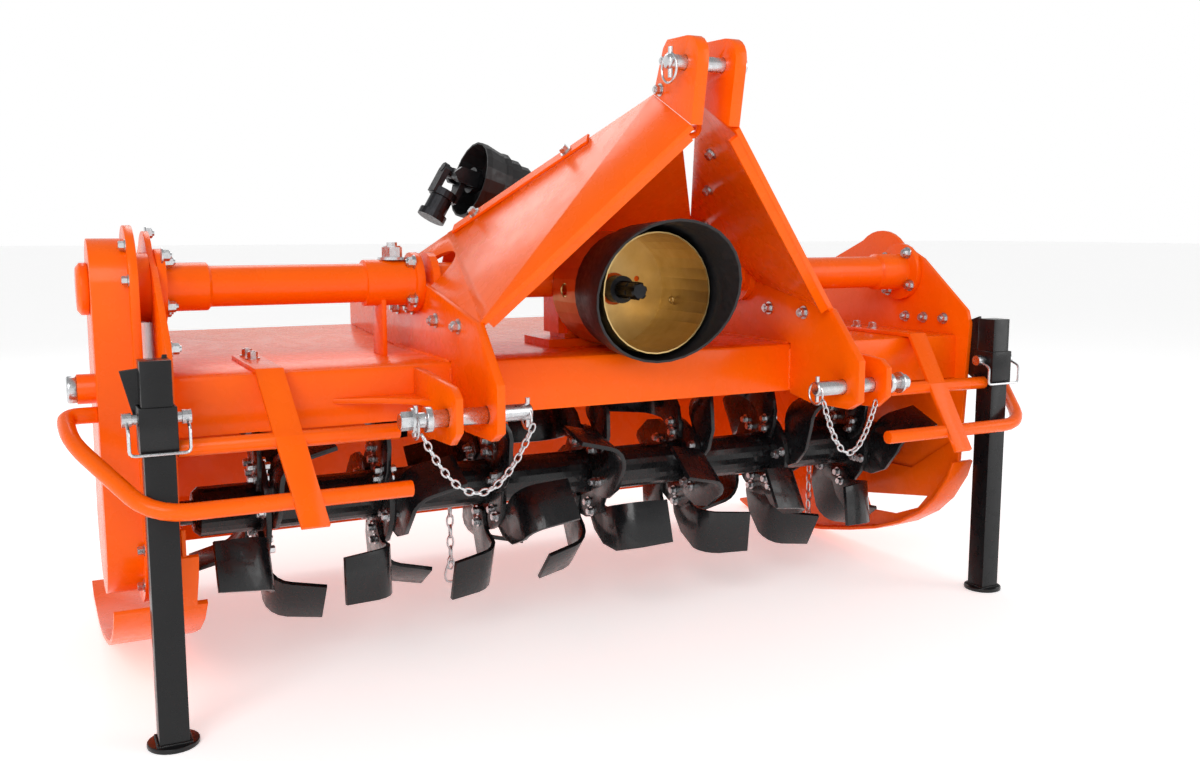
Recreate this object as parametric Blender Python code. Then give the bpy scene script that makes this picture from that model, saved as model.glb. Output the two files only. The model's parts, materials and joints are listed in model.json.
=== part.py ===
"""Gear-driven rotary tiller for a three-point hitch, parked on its two stands and its skids.

Frame: +Z up, X across the machine, -Y towards the tractor. The pieces are laid out from the hitch's centre
plane (x = 0), the deck's front face (y = 0) and the floor (z = 0). At the end everything is moved so that the
origin is the middle of the machine's footprint, on the floor.
"""

import math

import bmesh
import bpy
from mathutils import Matrix, Vector

for old in list(bpy.data.objects):
    bpy.data.objects.remove(old, do_unlink=True)

# Driving dimensions, in metres
FIT = 0.0003  # gap between pieces that touch
RUNNING = 0.0006  # gap around a turning shaft

DECK_WIDTH = 1.667
DECK_OFFSET = -0.0115  # the deck's middle, from the hitch's middle
DECK_SHEET = 0.006
DECK_BOTTOM = 0.475
DECK_TOP = 0.573
DECK_FLAT = 0.340  # depth of the level part
DECK_CREST = (0.690, 0.590)
DECK_BACK = (0.790, 0.505)

PLATE = 0.010
TUBE_AXIS = (0.183, 0.708)
TUBE_RADIUS = 0.036

ROTOR_AXIS = (0.200, 0.303)
ROTOR_TUBE_RADIUS = 0.045
ROTOR_STUB_RADIUS = 0.022
BLADE_RADIUS = 0.2135
BLADE_SETS = 7
BLADES_PER_SET = 6
SET_SPACING = 0.224
FLANGE_RADIUS = 0.098
FLANGE_THICK = 0.010

CASE_OUTER_GAP = 0.0235  # from the side plate to the case's flange
CASE_FLANGE = 0.014
CASE_DEPTH = 0.057
CASE_TOP_RADIUS = 0.084
CASE_BOTTOM_RADIUS = 0.124
CASE_FLANGE_WIDTH = 0.022

HITCH_SPREAD = 0.740  # between the two hitch plates' middles
HITCH_PLATE = 0.015
EAR_SPREAD = 0.880
EAR_PLATE = 0.013
LOWER_PIN_AXIS = (-0.170, 0.503)
LOWER_PIN_RADIUS = 0.01435
MAST_GAP = 0.052
MAST_EAR = 0.022
TOP_PIN_AXIS = (-0.245, 1.081)
TOP_PIN_RADIUS = 0.0125
ARM_THICK = 0.010

PTO_HEIGHT = 0.690
SHAFT_RADIUS = 0.0175
SHIELD_RADIUS = 0.1135
RUBBER_BACK_RADIUS = 0.1165
RUBBER_FLARE_RADIUS = 0.127
RUBBER_FRONT_RADIUS = 0.140
RUBBER_WALL = 0.005

STAND_Y = -0.080
STAND_OUT = 0.022  # leg's middle, out from the side plate's outer face
LEG_SIDE = 0.045
LEG_LENGTH = 0.612
FOOT_RADIUS = 0.040
FOOT_THICK = 0.008
SLEEVE_SIDE = 0.055
SLEEVE_LOW = 0.468
SLEEVE_HIGH = 0.542

GUARD_RADIUS = 0.0135
SKID_THICK = 0.008
SKID_WIDTH = 0.060
SKID_OUT = 0.025  # how far a skid stands out from the side plate
TAIL_SHEET = 0.004
HINGE_AXIS = (0.812, 0.500)
HINGE_ROD_RADIUS = 0.008

# Sizes that follow
DECK_LEFT = DECK_OFFSET - DECK_WIDTH / 2
DECK_RIGHT = DECK_OFFSET + DECK_WIDTH / 2
LEFT_PLATE = (DECK_LEFT - FIT - PLATE, DECK_LEFT - FIT)
RIGHT_PLATE = (DECK_RIGHT + FIT, DECK_RIGHT + FIT + PLATE)
CASE_INNER = LEFT_PLATE[0] - CASE_OUTER_GAP
CASE_BODY = CASE_INNER - CASE_FLANGE
CASE_OUTER = CASE_BODY - CASE_DEPTH


# Materials
def paint(name, colour, roughness, metallic=0.0):
    """A Principled material of one linear colour."""
    made = bpy.data.materials.new(name)
    made.use_nodes = True
    shader = made.node_tree.nodes["Principled BSDF"]
    shader.inputs["Base Color"].default_value = (*colour, 1.0)
    shader.inputs["Roughness"].default_value = roughness
    shader.inputs["Metallic"].default_value = metallic
    return made


FINISHES = {
    "orange_paint": ((1.0, 0.133, 0.002), 0.28, 0.0),
    "black_paint": ((0.011, 0.011, 0.012), 0.3, 0.0),
    "blade_paint": ((0.013, 0.013, 0.014), 0.38, 0.0),
    "zinc_steel": ((0.55, 0.56, 0.57), 0.3, 1.0),
    "yellow_zinc": ((0.43, 0.28, 0.08), 0.36, 1.0),
    "black_rubber": ((0.01, 0.01, 0.01), 0.6, 0.0),
    "black_steel": ((0.02, 0.02, 0.02), 0.4, 0.6),
}


# Shapes, as bmeshes
def at(axis, across, along):
    """The point whose place along an axis is given, and whose other two coordinates are in X, Y, Z order."""
    a, b = across
    return {"x": (along, a, b), "y": (a, along, b), "z": (a, b, along)}[axis]


def prism(outline, axis, low, high):
    """A flat outline extruded between two places on an axis."""
    shape = bmesh.new()
    base = shape.faces.new([shape.verts.new(at(axis, p, low)) for p in outline])
    moved = bmesh.ops.extrude_face_region(shape, geom=[base])
    tops = [v for v in moved["geom"] if isinstance(v, bmesh.types.BMVert)]
    step = Vector(at(axis, (0, 0), high - low))
    bmesh.ops.translate(shape, verts=tops, vec=step)
    bmesh.ops.recalc_face_normals(shape, faces=shape.faces)
    return shape


def block(x, y, z):
    """A box between pairs of X, Y and Z."""
    return prism([(x[0], y[0]), (x[1], y[0]), (x[1], y[1]), (x[0], y[1])], "z", *z)


def loft(sections, closed=False):
    """Rings of points, joined in order."""
    shape = bmesh.new()
    rings = [[shape.verts.new(p) for p in ring] for ring in sections]
    pairs = list(zip(rings, rings[1:]))
    if closed:
        pairs.append((rings[-1], rings[0]))
    for ring, after in pairs:
        for i in range(len(ring)):
            j = (i + 1) % len(ring)
            shape.faces.new((ring[i], ring[j], after[j], after[i]))
    if not closed:
        shape.faces.new(rings[0])
        shape.faces.new(rings[-1])
    bmesh.ops.recalc_face_normals(shape, faces=shape.faces)
    return shape


def frame_of(direction):
    """Two unit vectors square to a direction."""
    side = Vector((0, 0, 1)) if abs(direction.z) < 0.9 else Vector((1, 0, 0))
    first = direction.cross(side).normalized()
    return first, direction.cross(first).normalized()


def turned(profile, start, direction, sides=24):
    """A profile of (distance along, radius) turned about a line, with flat ends."""
    start = Vector(start)
    direction = Vector(direction).normalized()
    first, second = frame_of(direction)
    rings = []
    for along, radius in profile:
        turn = [2 * math.pi * i / sides for i in range(sides)]
        middle = start + direction * along
        rings.append([middle + radius * (math.cos(t) * first + math.sin(t) * second) for t in turn])
    return loft(rings)


def shell(profile, start, direction, sides=28):
    """A closed ring section of (distance along, radius) turned about a line, open through its middle."""
    start = Vector(start)
    direction = Vector(direction).normalized()
    first, second = frame_of(direction)
    rings = []
    for i in range(sides):
        turn = 2 * math.pi * i / sides
        out = math.cos(turn) * first + math.sin(turn) * second
        rings.append([start + direction * along + radius * out for along, radius in profile])
    return loft(rings, closed=True)


def rod(a, b, radius, sides=20):
    """A round bar between two points."""
    a, b = Vector(a), Vector(b)
    return turned([(0, radius), ((b - a).length, radius)], a, b - a, sides)


def x_rod(centre, low, high, radius, sides=20):
    """A round bar along X about a (Y, Z) centre."""
    return rod((low, *centre), (high, *centre), radius, sides)


def arc(centre, radius, start, end, steps):
    """Points on a circle, with angles in degrees."""
    turns = [math.radians(start + (end - start) * i / steps) for i in range(steps + 1)]
    return [(centre[0] + radius * math.cos(t), centre[1] + radius * math.sin(t)) for t in turns]


def rounded(points, radius, steps=4):
    """A path with its inner corners replaced by smooth bends."""
    points = [Vector(p) for p in points]
    made = [points[0]]
    for before, corner, after in zip(points, points[1:], points[2:]):
        room = min((before - corner).length, (after - corner).length) * 0.48
        reach = min(radius, room)
        first = corner + (before - corner).normalized() * reach
        last = corner + (after - corner).normalized() * reach
        for i in range(steps + 1):
            t = i / steps
            made.append(first * (1 - t) ** 2 + corner * 2 * t * (1 - t) + last * t**2)
    made.append(points[-1])
    return made


def tube(path, radius, sides=10):
    """A round bar swept along a path, mitred at each point."""
    path = [Vector(p) for p in path]
    steps = [(b - a).normalized() for a, b in zip(path, path[1:])]
    first, _ = frame_of(steps[0])
    rings = []
    for i, point in enumerate(path):
        back = steps[max(i - 1, 0)]
        ahead = steps[min(i, len(steps) - 1)]
        facing = (back + ahead).normalized()
        first = (first - facing * first.dot(facing)).normalized()
        second = facing.cross(first)
        spread = 1 / max(facing.dot(ahead), 0.5)
        bend = (ahead - back)
        outward = bend.normalized() if bend.length > 1e-6 else None
        ring = []
        for k in range(sides):
            turn = 2 * math.pi * k / sides
            offset = radius * (math.cos(turn) * first + math.sin(turn) * second)
            if outward is not None:
                offset += outward * offset.dot(outward) * (spread - 1)
            ring.append(point + offset)
        rings.append(ring)
    return loft(rings)


def offset_path(points, distance):
    """A flat path moved sideways to its left, with mitred corners."""
    points = [Vector(p) for p in points]
    steps = [(b - a).normalized() for a, b in zip(points, points[1:])]
    made = []
    for i, point in enumerate(points):
        back = steps[max(i - 1, 0)]
        ahead = steps[min(i, len(steps) - 1)]
        left = Vector((-(back.y + ahead.y), back.x + ahead.x)).normalized()
        made.append(point + left * distance / left.dot(Vector((-ahead.y, ahead.x))))
    return [tuple(p) for p in made]


def strip(path, thickness, axis, low, high):
    """A sheet bent along a flat path, with its thickness on the path's left."""
    return prism([*path, *reversed(offset_path(path, thickness))], axis, low, high)


# Joining and cutting
def as_object(shape):
    mesh = bpy.data.meshes.new("shape")
    shape.to_mesh(mesh)
    shape.free()
    made = bpy.data.objects.new("shape", mesh)
    bpy.context.collection.objects.link(made)
    return made


def combine(first, others, operation):
    """One shape from a first one and others, by exact Booleans."""
    base = as_object(first)
    used = [as_object(other) for other in others]
    for other in used:
        step = base.modifiers.new("step", "BOOLEAN")
        step.operation = operation
        step.solver = "EXACT"
        step.object = other
    bpy.context.view_layer.update()
    seen = base.evaluated_get(bpy.context.evaluated_depsgraph_get())
    result = bmesh.new()
    result.from_mesh(seen.to_mesh())
    seen.to_mesh_clear()
    for spent in (base, *used):
        bpy.data.objects.remove(spent, do_unlink=True)
    return result


def joined(first, *others):
    return combine(first, others, "UNION")


def cut(first, *others):
    return combine(first, others, "DIFFERENCE")


MADE = {}


def node(name, shape, finish, pivot=(0, 0, 0)):
    """A finished sub-part, with its origin at a pivot."""
    pivot = Vector(pivot)
    bmesh.ops.translate(shape, verts=shape.verts, vec=-pivot)
    mesh = bpy.data.meshes.new(name)
    shape.to_mesh(mesh)
    shape.free()
    colour, roughness, metallic = FINISHES[finish]
    mesh.materials.append(paint(f"{name}_{finish}", colour, roughness, metallic))
    mesh.shade_smooth()
    mesh.set_sharp_from_angle(angle=math.radians(35))
    made = bpy.data.objects.new(name, mesh)
    made.location = pivot
    bpy.context.collection.objects.link(made)
    MADE[name] = made
    return made


def mirrored(points, side):
    """Points (X, Y, Z) laid out for the right, put on a side: 1 for right and -1 for left."""
    return [(side * x, y, z) for x, y, z in points]


# Deck and side plates
def deck_path():
    """The deck's outer surface from its front lip to its back edge, as (Y, Z)."""
    bend = 0.010
    top = [(bend, DECK_TOP), (DECK_FLAT, DECK_TOP), DECK_CREST, (DECK_CREST[0] + 0.02, DECK_CREST[1] - 0.004)]
    return [(0, DECK_BOTTOM), (0, DECK_TOP - bend), (bend * 0.3, DECK_TOP - bend * 0.3), *top, DECK_BACK]


KNUCKLE = 0.070
KNUCKLE_RADIUS = 0.014
KNUCKLE_PLACES = [-0.36, -0.12, 0.12, 0.36]  # shares of the deck's width


def knuckles(shift):
    """Short sleeves on the tail board's hinge axis."""
    made = []
    for share in KNUCKLE_PLACES:
        middle = DECK_OFFSET + share * DECK_WIDTH + shift
        made.append(x_rod(HINGE_AXIS, middle - KNUCKLE / 2, middle + KNUCKLE / 2, KNUCKLE_RADIUS, 20))
    return made


def hinge_bore():
    return x_rod(HINGE_AXIS, DECK_LEFT - 0.1, DECK_RIGHT + 0.1, HINGE_ROD_RADIUS + RUNNING, 20)


def make_deck():
    sheet = strip(deck_path(), -DECK_SHEET, "x", DECK_LEFT, DECK_RIGHT)
    leaves = []
    for share in KNUCKLE_PLACES:
        middle = DECK_OFFSET + share * DECK_WIDTH
        outline = [
            (DECK_BACK[0] - 0.045, DECK_BACK[1] + 0.030),
            (DECK_BACK[0] - 0.004, DECK_BACK[1] - 0.002),
            (HINGE_AXIS[0] - 0.004, HINGE_AXIS[1] - 0.010),
            (HINGE_AXIS[0], HINGE_AXIS[1] + 0.012),
        ]
        leaves.append(prism(outline, "x", middle - KNUCKLE / 2, middle + KNUCKLE / 2))
    shape = joined(sheet, *leaves, *knuckles(0))
    node("deck", cut(shape, hinge_bore()), "orange_paint")


SKID_PATH = [
    (-0.033, 0.285),
    (-0.020, 0.248),
    (0.019, 0.189),
    (0.065, 0.147),
    (0.134, 0.107),
    (0.222, 0.072),
    (0.316, 0.046),
    (0.430, 0.020),
    (0.520, 0.006),
    (0.590, 0.000),
    (0.760, 0.000),
    (0.815, 0.016),
]


def make_side_plate(name, span):
    low_front = offset_path(SKID_PATH, SKID_THICK + 0.004)[:3]
    outline = [
        *reversed(low_front),
        (-0.030, 0.436),
        (-0.038, 0.600),
        (-0.028, 0.628),
        (0.116, 0.740),
        *arc((0.262, 0.700), 0.104, 135, 50, 8),
        (0.424, 0.741),
        (0.640, 0.650),
        (0.780, 0.570),
        (0.845, 0.500),
        (0.850, 0.330),
        (0.780, 0.170),
        (0.282, 0.153),
        (0.060, 0.190),
    ]
    opening = x_rod(ROTOR_AXIS, span[0] - 0.01, span[1] + 0.01, 0.045, 32)
    node(name, cut(prism(outline, "x", *span), opening), "orange_paint")


def make_skid(name, inner_face, side, band, shoe=None):
    """A sled runner with its web bolted to the side plate's inner face."""
    web_high = inner_face - side * FIT
    web_low = web_high - side * 0.006
    middle_line = offset_path(SKID_PATH, SKID_THICK * 0.5)
    outline = [
        *middle_line[:-2],
        (0.755, 0.004),
        (0.755, 0.200),
        (0.640, 0.225),
        (0.120, 0.245),
        (-0.005, 0.330),
        (-0.030, 0.330),
    ]
    web = prism(outline, "x", min(web_low, web_high), max(web_low, web_high))
    slot = prism(
        [(0.065, 0.186), (0.282, 0.150), (0.261, 0.112), (0.170, 0.121), (0.095, 0.152)],
        "x",
        min(web_low, web_high) - 0.01,
        max(web_low, web_high) + 0.01,
    )
    pieces = [strip(SKID_PATH, SKID_THICK, "x", *band)]
    if shoe:
        pieces.append(strip(SKID_PATH[2:], SKID_THICK, "x", *shoe))
    node(name, joined(cut(web, slot), *pieces), "orange_paint")


# Side drive
def stadium(grow, low, high):
    """The case's outline: two circles and their common tangents."""
    top, bottom = TUBE_AXIS, ROTOR_AXIS
    points = arc(top, CASE_TOP_RADIUS + grow, -2, 182, 18)
    points += arc(bottom, CASE_BOTTOM_RADIUS + grow, 182, 358, 18)
    return prism(points, "x", low, high)


def make_gear_case():
    boss_end = LEFT_PLATE[0] - FIT
    shape = joined(
        stadium(0, CASE_OUTER, CASE_BODY + 0.002),
        stadium(CASE_FLANGE_WIDTH, CASE_BODY, CASE_INNER),
        x_rod(TUBE_AXIS, CASE_INNER - 0.004, boss_end, 0.060, 32),
        x_rod(ROTOR_AXIS, CASE_INNER - 0.004, boss_end, 0.080, 32),
        x_rod((0.140, 0.545), CASE_OUTER - 0.028, CASE_OUTER + 0.004, 0.025, 24),
    )
    bore = x_rod(ROTOR_AXIS, CASE_INNER - 0.010, boss_end + 0.01, ROTOR_STUB_RADIUS + RUNNING, 24)
    node("gear_case", cut(shape, bore), "orange_paint")
    cap = turned([(0, 0.044), (0.012, 0.044), (0.018, 0.036)], (CASE_OUTER - FIT, *TUBE_AXIS), (-1, 0, 0))
    node("bearing_cap", cap, "orange_paint")
    plug_start = CASE_OUTER - 0.028 - FIT
    plug = turned([(0, 0.023), (0.013, 0.023), (0.015, 0.021)], (plug_start, 0.140, 0.545), (-1, 0, 0), 24)
    node("level_plug", plug, "zinc_steel")


def make_bearing_housing():
    start = RIGHT_PLATE[1] + FIT
    body = turned([(0, 0.070), (0.012, 0.070), (0.016, 0.052), (0.034, 0.048), (0.038, 0.040)],
                  (start, *ROTOR_AXIS), (1, 0, 0))
    bore = x_rod(ROTOR_AXIS, start - 0.01, start + 0.024, ROTOR_STUB_RADIUS + RUNNING, 24)
    node("rotor_bearing_housing", cut(body, bore), "orange_paint")


def make_axle_tube(name, side, plate_inner):
    """The cross tube between a side plate and a hitch plate, with its end flanges."""
    outer = side * plate_inner - FIT
    inner = HITCH_SPREAD / 2 + HITCH_PLATE / 2 + FIT
    start = (side * outer, *TUBE_AXIS)
    length = outer - inner
    profile = [
        (0, 0.066),
        (0.014, 0.066),
        (0.0145, 0.042),
        (0.085, 0.042),
        (0.090, TUBE_RADIUS),
        (length - 0.105, TUBE_RADIUS),
        (length - 0.104, 0.043),
        (length - 0.015, 0.043),
        (length - 0.0145, 0.056),
        (length, 0.056),
    ]
    shape = turned(profile, start, (-side, 0, 0))
    foot_x = (side * (inner + 0.070), side * (inner + 0.078))
    foot = block((min(foot_x), max(foot_x)), (0.150, 0.216), (DECK_TOP + FIT, TUBE_AXIS[1] - 0.030))
    node(name, joined(shape, foot), "orange_paint")


def make_gearbox():
    reach = HITCH_SPREAD / 2 - HITCH_PLATE / 2 - FIT
    body = block((-0.090, 0.090), (0.150, 0.250), (DECK_TOP + 0.012, 0.768))
    bmesh.ops.bevel(body, geom=body.edges[:], offset=0.014, segments=2, affect="EDGES")
    foot = block((-0.120, 0.120), (0.145, 0.268), (DECK_TOP + FIT, DECK_TOP + 0.016))
    cross = x_rod(TUBE_AXIS, -reach, reach, TUBE_RADIUS, 32)
    ends = [
        turned([(0, 0.056), (0.014, 0.056)], (side * reach, *TUBE_AXIS), (-side, 0, 0)) for side in (-1, 1)
    ]
    neck = rod((0, 0.0985, PTO_HEIGHT), (0, 0.155, PTO_HEIGHT), 0.070, 32)
    cap = rod((0, 0.200, 0.760), (0, 0.200, 0.778), 0.046, 24)
    shape = joined(body, foot, cross, *ends, neck, cap)
    bore = rod((0, 0.05, PTO_HEIGHT), (0, 0.140, PTO_HEIGHT), SHAFT_RADIUS + RUNNING, 24)
    node("gearbox", cut(shape, bore), "orange_paint")


# Driveline, stowed behind the mast: its tube lies in a saddle and in a notch of the right hitch plate
DRIVE_START = Vector((-0.188, 0.400, 0.912))
DRIVE_END = Vector((0.560, 0.460, 0.700))
DRIVE_TUBE_RADIUS = 0.034


# Power take-off
def make_input():
    shaft = turned(
        [(0, 0.0145), (0.003, SHAFT_RADIUS), (0.070, SHAFT_RADIUS), (0.0705, 0.027), (0.100, 0.027),
         (0.1005, SHAFT_RADIUS), (0.148, SHAFT_RADIUS)],
        (0, -0.012, PTO_HEIGHT), (0, 1, 0), 24)
    node("input_shaft", shaft, "black_steel", (0, 0.100, PTO_HEIGHT))
    wall = 0.0025
    back, disc, front = 0.142, 0.0982, -0.080
    section = [
        (back, SHIELD_RADIUS),
        (front, SHIELD_RADIUS),
        (front, SHIELD_RADIUS - wall),
        (disc - wall, SHIELD_RADIUS - wall),
        (disc - wall, 0.032),
        (disc, 0.032),
        (disc, SHIELD_RADIUS - wall),
        (back, SHIELD_RADIUS - wall),
    ]
    start = (0, 0, PTO_HEIGHT)
    body = shell(section, start, (0, 1, 0), 32)
    holes = []
    for turn, radius in ((100, 0.006), (250, 0.005), (20, 0.006), (180, 0.006)):
        x = 0.055 * math.cos(math.radians(turn))
        z = PTO_HEIGHT + 0.055 * math.sin(math.radians(turn))
        holes.append(rod((x, disc - 0.02, z), (x, disc + 0.02, z), radius, 12))
    access = x_rod((0.088, PTO_HEIGHT), -0.2, -0.06, 0.014, 16)
    node("pto_shield", cut(body, *holes, access), "yellow_zinc")
    inside = SHIELD_RADIUS + FIT
    profile = [
        (0.034, inside),
        (0.034, RUBBER_BACK_RADIUS),
        (-0.001, RUBBER_BACK_RADIUS),
        (-0.020, RUBBER_FLARE_RADIUS),
        (-0.220, RUBBER_FRONT_RADIUS),
        (-0.220, RUBBER_FRONT_RADIUS - RUBBER_WALL),
        (-0.020, RUBBER_FLARE_RADIUS - RUBBER_WALL),
        (-0.004, inside),
    ]
    rubber = shell(profile, start, (0, 1, 0), 32)
    away = block((-0.4, 0.4), (-0.8, 0), (-0.4, 0.4))
    facing = Vector((0.235, 1.0, 0.30)).normalized()
    turn = Vector((0, 1, 0)).rotation_difference(facing).to_matrix().to_4x4()
    place = Matrix.Translation((0, -0.120, PTO_HEIGHT)) @ turn
    bmesh.ops.transform(away, matrix=place, verts=away.verts)
    node("pto_rubber_guard", cut(rubber, away), "black_rubber")


# Hitch
BEND_FRONT = (-0.129, 0.652)
BEND_BACK = (0.299, 0.737)


HITCH_OUTLINE = [
    BEND_FRONT,
    (-0.220, 0.558),
    (-0.220, 0.478),
    (-0.190, 0.461),
    (-0.070, 0.458),
    (-FIT, 0.470),
    (-FIT, DECK_TOP + FIT),
    (DECK_FLAT, DECK_TOP + FIT),
    (DECK_CREST[0] - 0.005, DECK_CREST[1] + FIT),
    (DECK_CREST[0] - 0.005, DECK_CREST[1] + 0.050),
    (0.498, 0.725),
    (0.390, 0.745),
    BEND_BACK,
]


def make_hitch_plate(name, side):
    middle = side * HITCH_SPREAD / 2
    span = (middle - HITCH_PLATE / 2, middle + HITCH_PLATE / 2)
    bore = x_rod(LOWER_PIN_AXIS, span[0] - 0.01, span[1] + 0.01, LOWER_PIN_RADIUS + 0.0006)
    rest = rod(DRIVE_START, DRIVE_END, DRIVE_TUBE_RADIUS + FIT)
    node(name, cut(prism(HITCH_OUTLINE, "x", *span), bore, rest), "orange_paint")


def make_hitch_ear(name, side):
    outline = [
        (-FIT, 0.568),
        (-0.070, 0.566),
        (-0.196, 0.556),
        (-0.217, 0.540),
        (-0.217, 0.484),
        (-0.185, 0.460),
        (-FIT, 0.452),
    ]
    middle = side * EAR_SPREAD / 2
    span = (middle - EAR_PLATE / 2, middle + EAR_PLATE / 2)
    web = [(0, -FIT), (0.150, -FIT), (0.075, -0.030), (0.020, -0.075), (0, -0.115)]
    web = [(side * (EAR_SPREAD / 2 + x), y) for x, y in web]
    shape = joined(prism(outline, "x", *span), prism(web, "z", 0.512, 0.522))
    bore = x_rod(LOWER_PIN_AXIS, span[0] - 0.01, span[1] + 0.01, LOWER_PIN_RADIUS + 0.0006)
    node(name, cut(shape, bore), "orange_paint")


def make_lower_pin(name, side):
    start = (side * 0.506, *LOWER_PIN_AXIS)
    profile = [
        (0, 0.010),
        (0.002, 0.0125),
        (0.022, 0.0125),
        (0.0225, 0.021),
        (0.034, 0.021),
        (0.0345, LOWER_PIN_RADIUS),
        (0.205, LOWER_PIN_RADIUS),
        (0.209, 0.0115),
    ]
    node(name, turned(profile, start, (-side, 0, 0), 24), "zinc_steel")


ARM_BASE_X = HITCH_SPREAD / 2
MAST_EAR_OUT = MAST_GAP / 2 + MAST_EAR
ARM_TOP_X = MAST_EAR_OUT + FIT
EAR_BOTTOM_FRONT = (-0.269, 0.978)
EAR_BOTTOM_BACK = (-0.143, 1.040)
ARM_WAIST = (0.285, 0.262, 0.800)


def arm_corners(side, grow=0.0):
    """The arm's outer face: bend line on the hitch plate, waist at the back, and the ear's lower edge."""
    corners = [
        (ARM_BASE_X, *BEND_FRONT),
        (ARM_BASE_X, *BEND_BACK),
        ARM_WAIST,
        (ARM_TOP_X, *EAR_BOTTOM_BACK),
        (ARM_TOP_X, *EAR_BOTTOM_FRONT),
    ]
    corners = [Vector(p) for p in mirrored(corners, side)]
    middle = sum(corners, Vector()) / len(corners)
    return [p + (p - middle).normalized() * 3 * grow for p in corners]


def arm_plate(side, grow=0.0):
    """The arm's sheet, as a solid between its outer face and the same face moved inwards."""
    outer = arm_corners(side, grow)
    inwards = (outer[4] - outer[0]).cross(outer[1] - outer[0]).normalized()
    if inwards.x * side > 0:
        inwards = -inwards
    shape = bmesh.new()
    faces = [(0, 1, 2), (0, 2, 3), (0, 3, 4)]
    front = [shape.verts.new(p - inwards * grow) for p in outer]
    back = [shape.verts.new(p + inwards * (ARM_THICK + grow)) for p in outer]
    for a, b, c in faces:
        shape.faces.new((front[a], front[b], front[c]))
        shape.faces.new((back[a], back[c], back[b]))
    for i in range(5):
        j = (i + 1) % 5
        shape.faces.new((front[i], back[i], back[j], front[j]))
    bmesh.ops.recalc_face_normals(shape, faces=shape.faces)
    return shape


FLANGE_REACH = 0.026  # the arm's front edge, turned inwards
FLANGE_SHEET = 0.009


def make_arm(name, side):
    corners = arm_corners(side)
    foot, head = corners[0], corners[4]
    along = (head - foot).normalized()
    inward = Vector((-side, 0, 0))
    inward = (inward - along * inward.dot(along)).normalized()
    depth = along.cross(inward).normalized()
    if depth.y < 0:
        depth = -depth
    rings = []
    section = [(0, 0), (FLANGE_REACH, 0), (FLANGE_REACH, FLANGE_SHEET), (0, FLANGE_SHEET)]
    for point in (foot + along * 0.010, head - along * 0.012):
        rings.append([point + inward * a + depth * b for a, b in section])
    flange = loft(rings)
    span = HITCH_PLATE / 2 + FIT
    middle = side * ARM_BASE_X
    keep_off = prism([(y, z + FIT) for y, z in HITCH_OUTLINE], "x", middle - span, middle + span)
    clear = x_rod(TUBE_AXIS, -0.5, 0.5, 0.058, 32)
    node(name, cut(joined(arm_plate(side), flange), keep_off, clear), "orange_paint")


def make_mast_ear(name, side):
    (fy, fz), (by, bz) = EAR_BOTTOM_FRONT, EAR_BOTTOM_BACK
    py, pz = TOP_PIN_AXIS
    outline = [(fy, fz + FIT), (py - 0.041, pz - 0.01), *arc((py - 0.008, pz + 0.008), 0.035, 180, 90, 5),
               (by - 0.046, bz + 0.086), (by - 0.032, bz + 0.074), (by, bz + FIT)]
    low = MAST_GAP / 2
    span = sorted((side * low, side * (low + MAST_EAR)))
    bore = x_rod(TOP_PIN_AXIS, span[0] - 0.01, span[1] + 0.01, TOP_PIN_RADIUS + 0.0006)
    node(name, cut(prism(outline, "x", *span), bore), "orange_paint")


def make_top_pin():
    tail = MAST_EAR_OUT + 0.035
    head = tail + MAST_EAR_OUT + 0.0025
    profile = [
        (0, 0.009),
        (0.003, TOP_PIN_RADIUS),
        (head, TOP_PIN_RADIUS),
        (head + 0.0005, 0.018),
        (head + 0.0165, 0.018),
        (head + 0.0205, 0.010),
    ]
    node("top_link_pin", turned(profile, (-tail, *TOP_PIN_AXIS), (1, 0, 0), 24), "zinc_steel")


BACK_SHEET = 0.005


def make_back_plate():
    """The sheet between the arms: it slopes down from the mast, then turns down behind the gearbox."""
    rows = [
        (0.100, 0.000, 0.957),
        (0.285, 0.262, 0.797),
        (0.300, 0.290, 0.690),
    ]
    left = []
    right = []
    for half, y, z in rows:
        left.append(Vector((-half, y, z)))
        right.append(Vector((half, y, z)))
    slope = Vector((0, 0.521, 0.853)) * BACK_SHEET
    rear = Vector((0, BACK_SHEET, 0))
    moves = [slope, (slope + rear) * 0.75, rear]
    shape = bmesh.new()
    under = [(shape.verts.new(a), shape.verts.new(b)) for a, b in zip(left, right)]
    over = [(shape.verts.new(a + m), shape.verts.new(b + m)) for a, b, m in zip(left, right, moves)]
    for i in range(2):
        shape.faces.new((under[i][0], under[i][1], under[i + 1][1], under[i + 1][0]))
        shape.faces.new((over[i][0], over[i + 1][0], over[i + 1][1], over[i][1]))
        for k in range(2):
            shape.faces.new((under[i][k], under[i + 1][k], over[i + 1][k], over[i][k]))
    for i in (0, 2):
        shape.faces.new((under[i][0], under[i][1], over[i][1], over[i][0]))
    bmesh.ops.recalc_face_normals(shape, faces=shape.faces)
    saddle = prism(
        [(0.292, 0.700), (0.440, 0.770), (0.466, 0.850), (0.366, 0.850), (0.292, 0.790)], "x", 0.008, 0.036)
    rest = rod(DRIVE_START, DRIVE_END, DRIVE_TUBE_RADIUS + FIT)
    shape = cut(joined(shape, saddle), arm_plate(-1, FIT), arm_plate(1, FIT), rest)
    node("mast_back_plate", shape, "orange_paint")


# Stands
def stand_x(side):
    face = RIGHT_PLATE[1] if side > 0 else -LEFT_PLATE[0]
    return side * (face + STAND_OUT)


PIN_DROP = 0.020  # pin's height below the sleeve's top
WIRE_RADIUS = 0.0025


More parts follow.
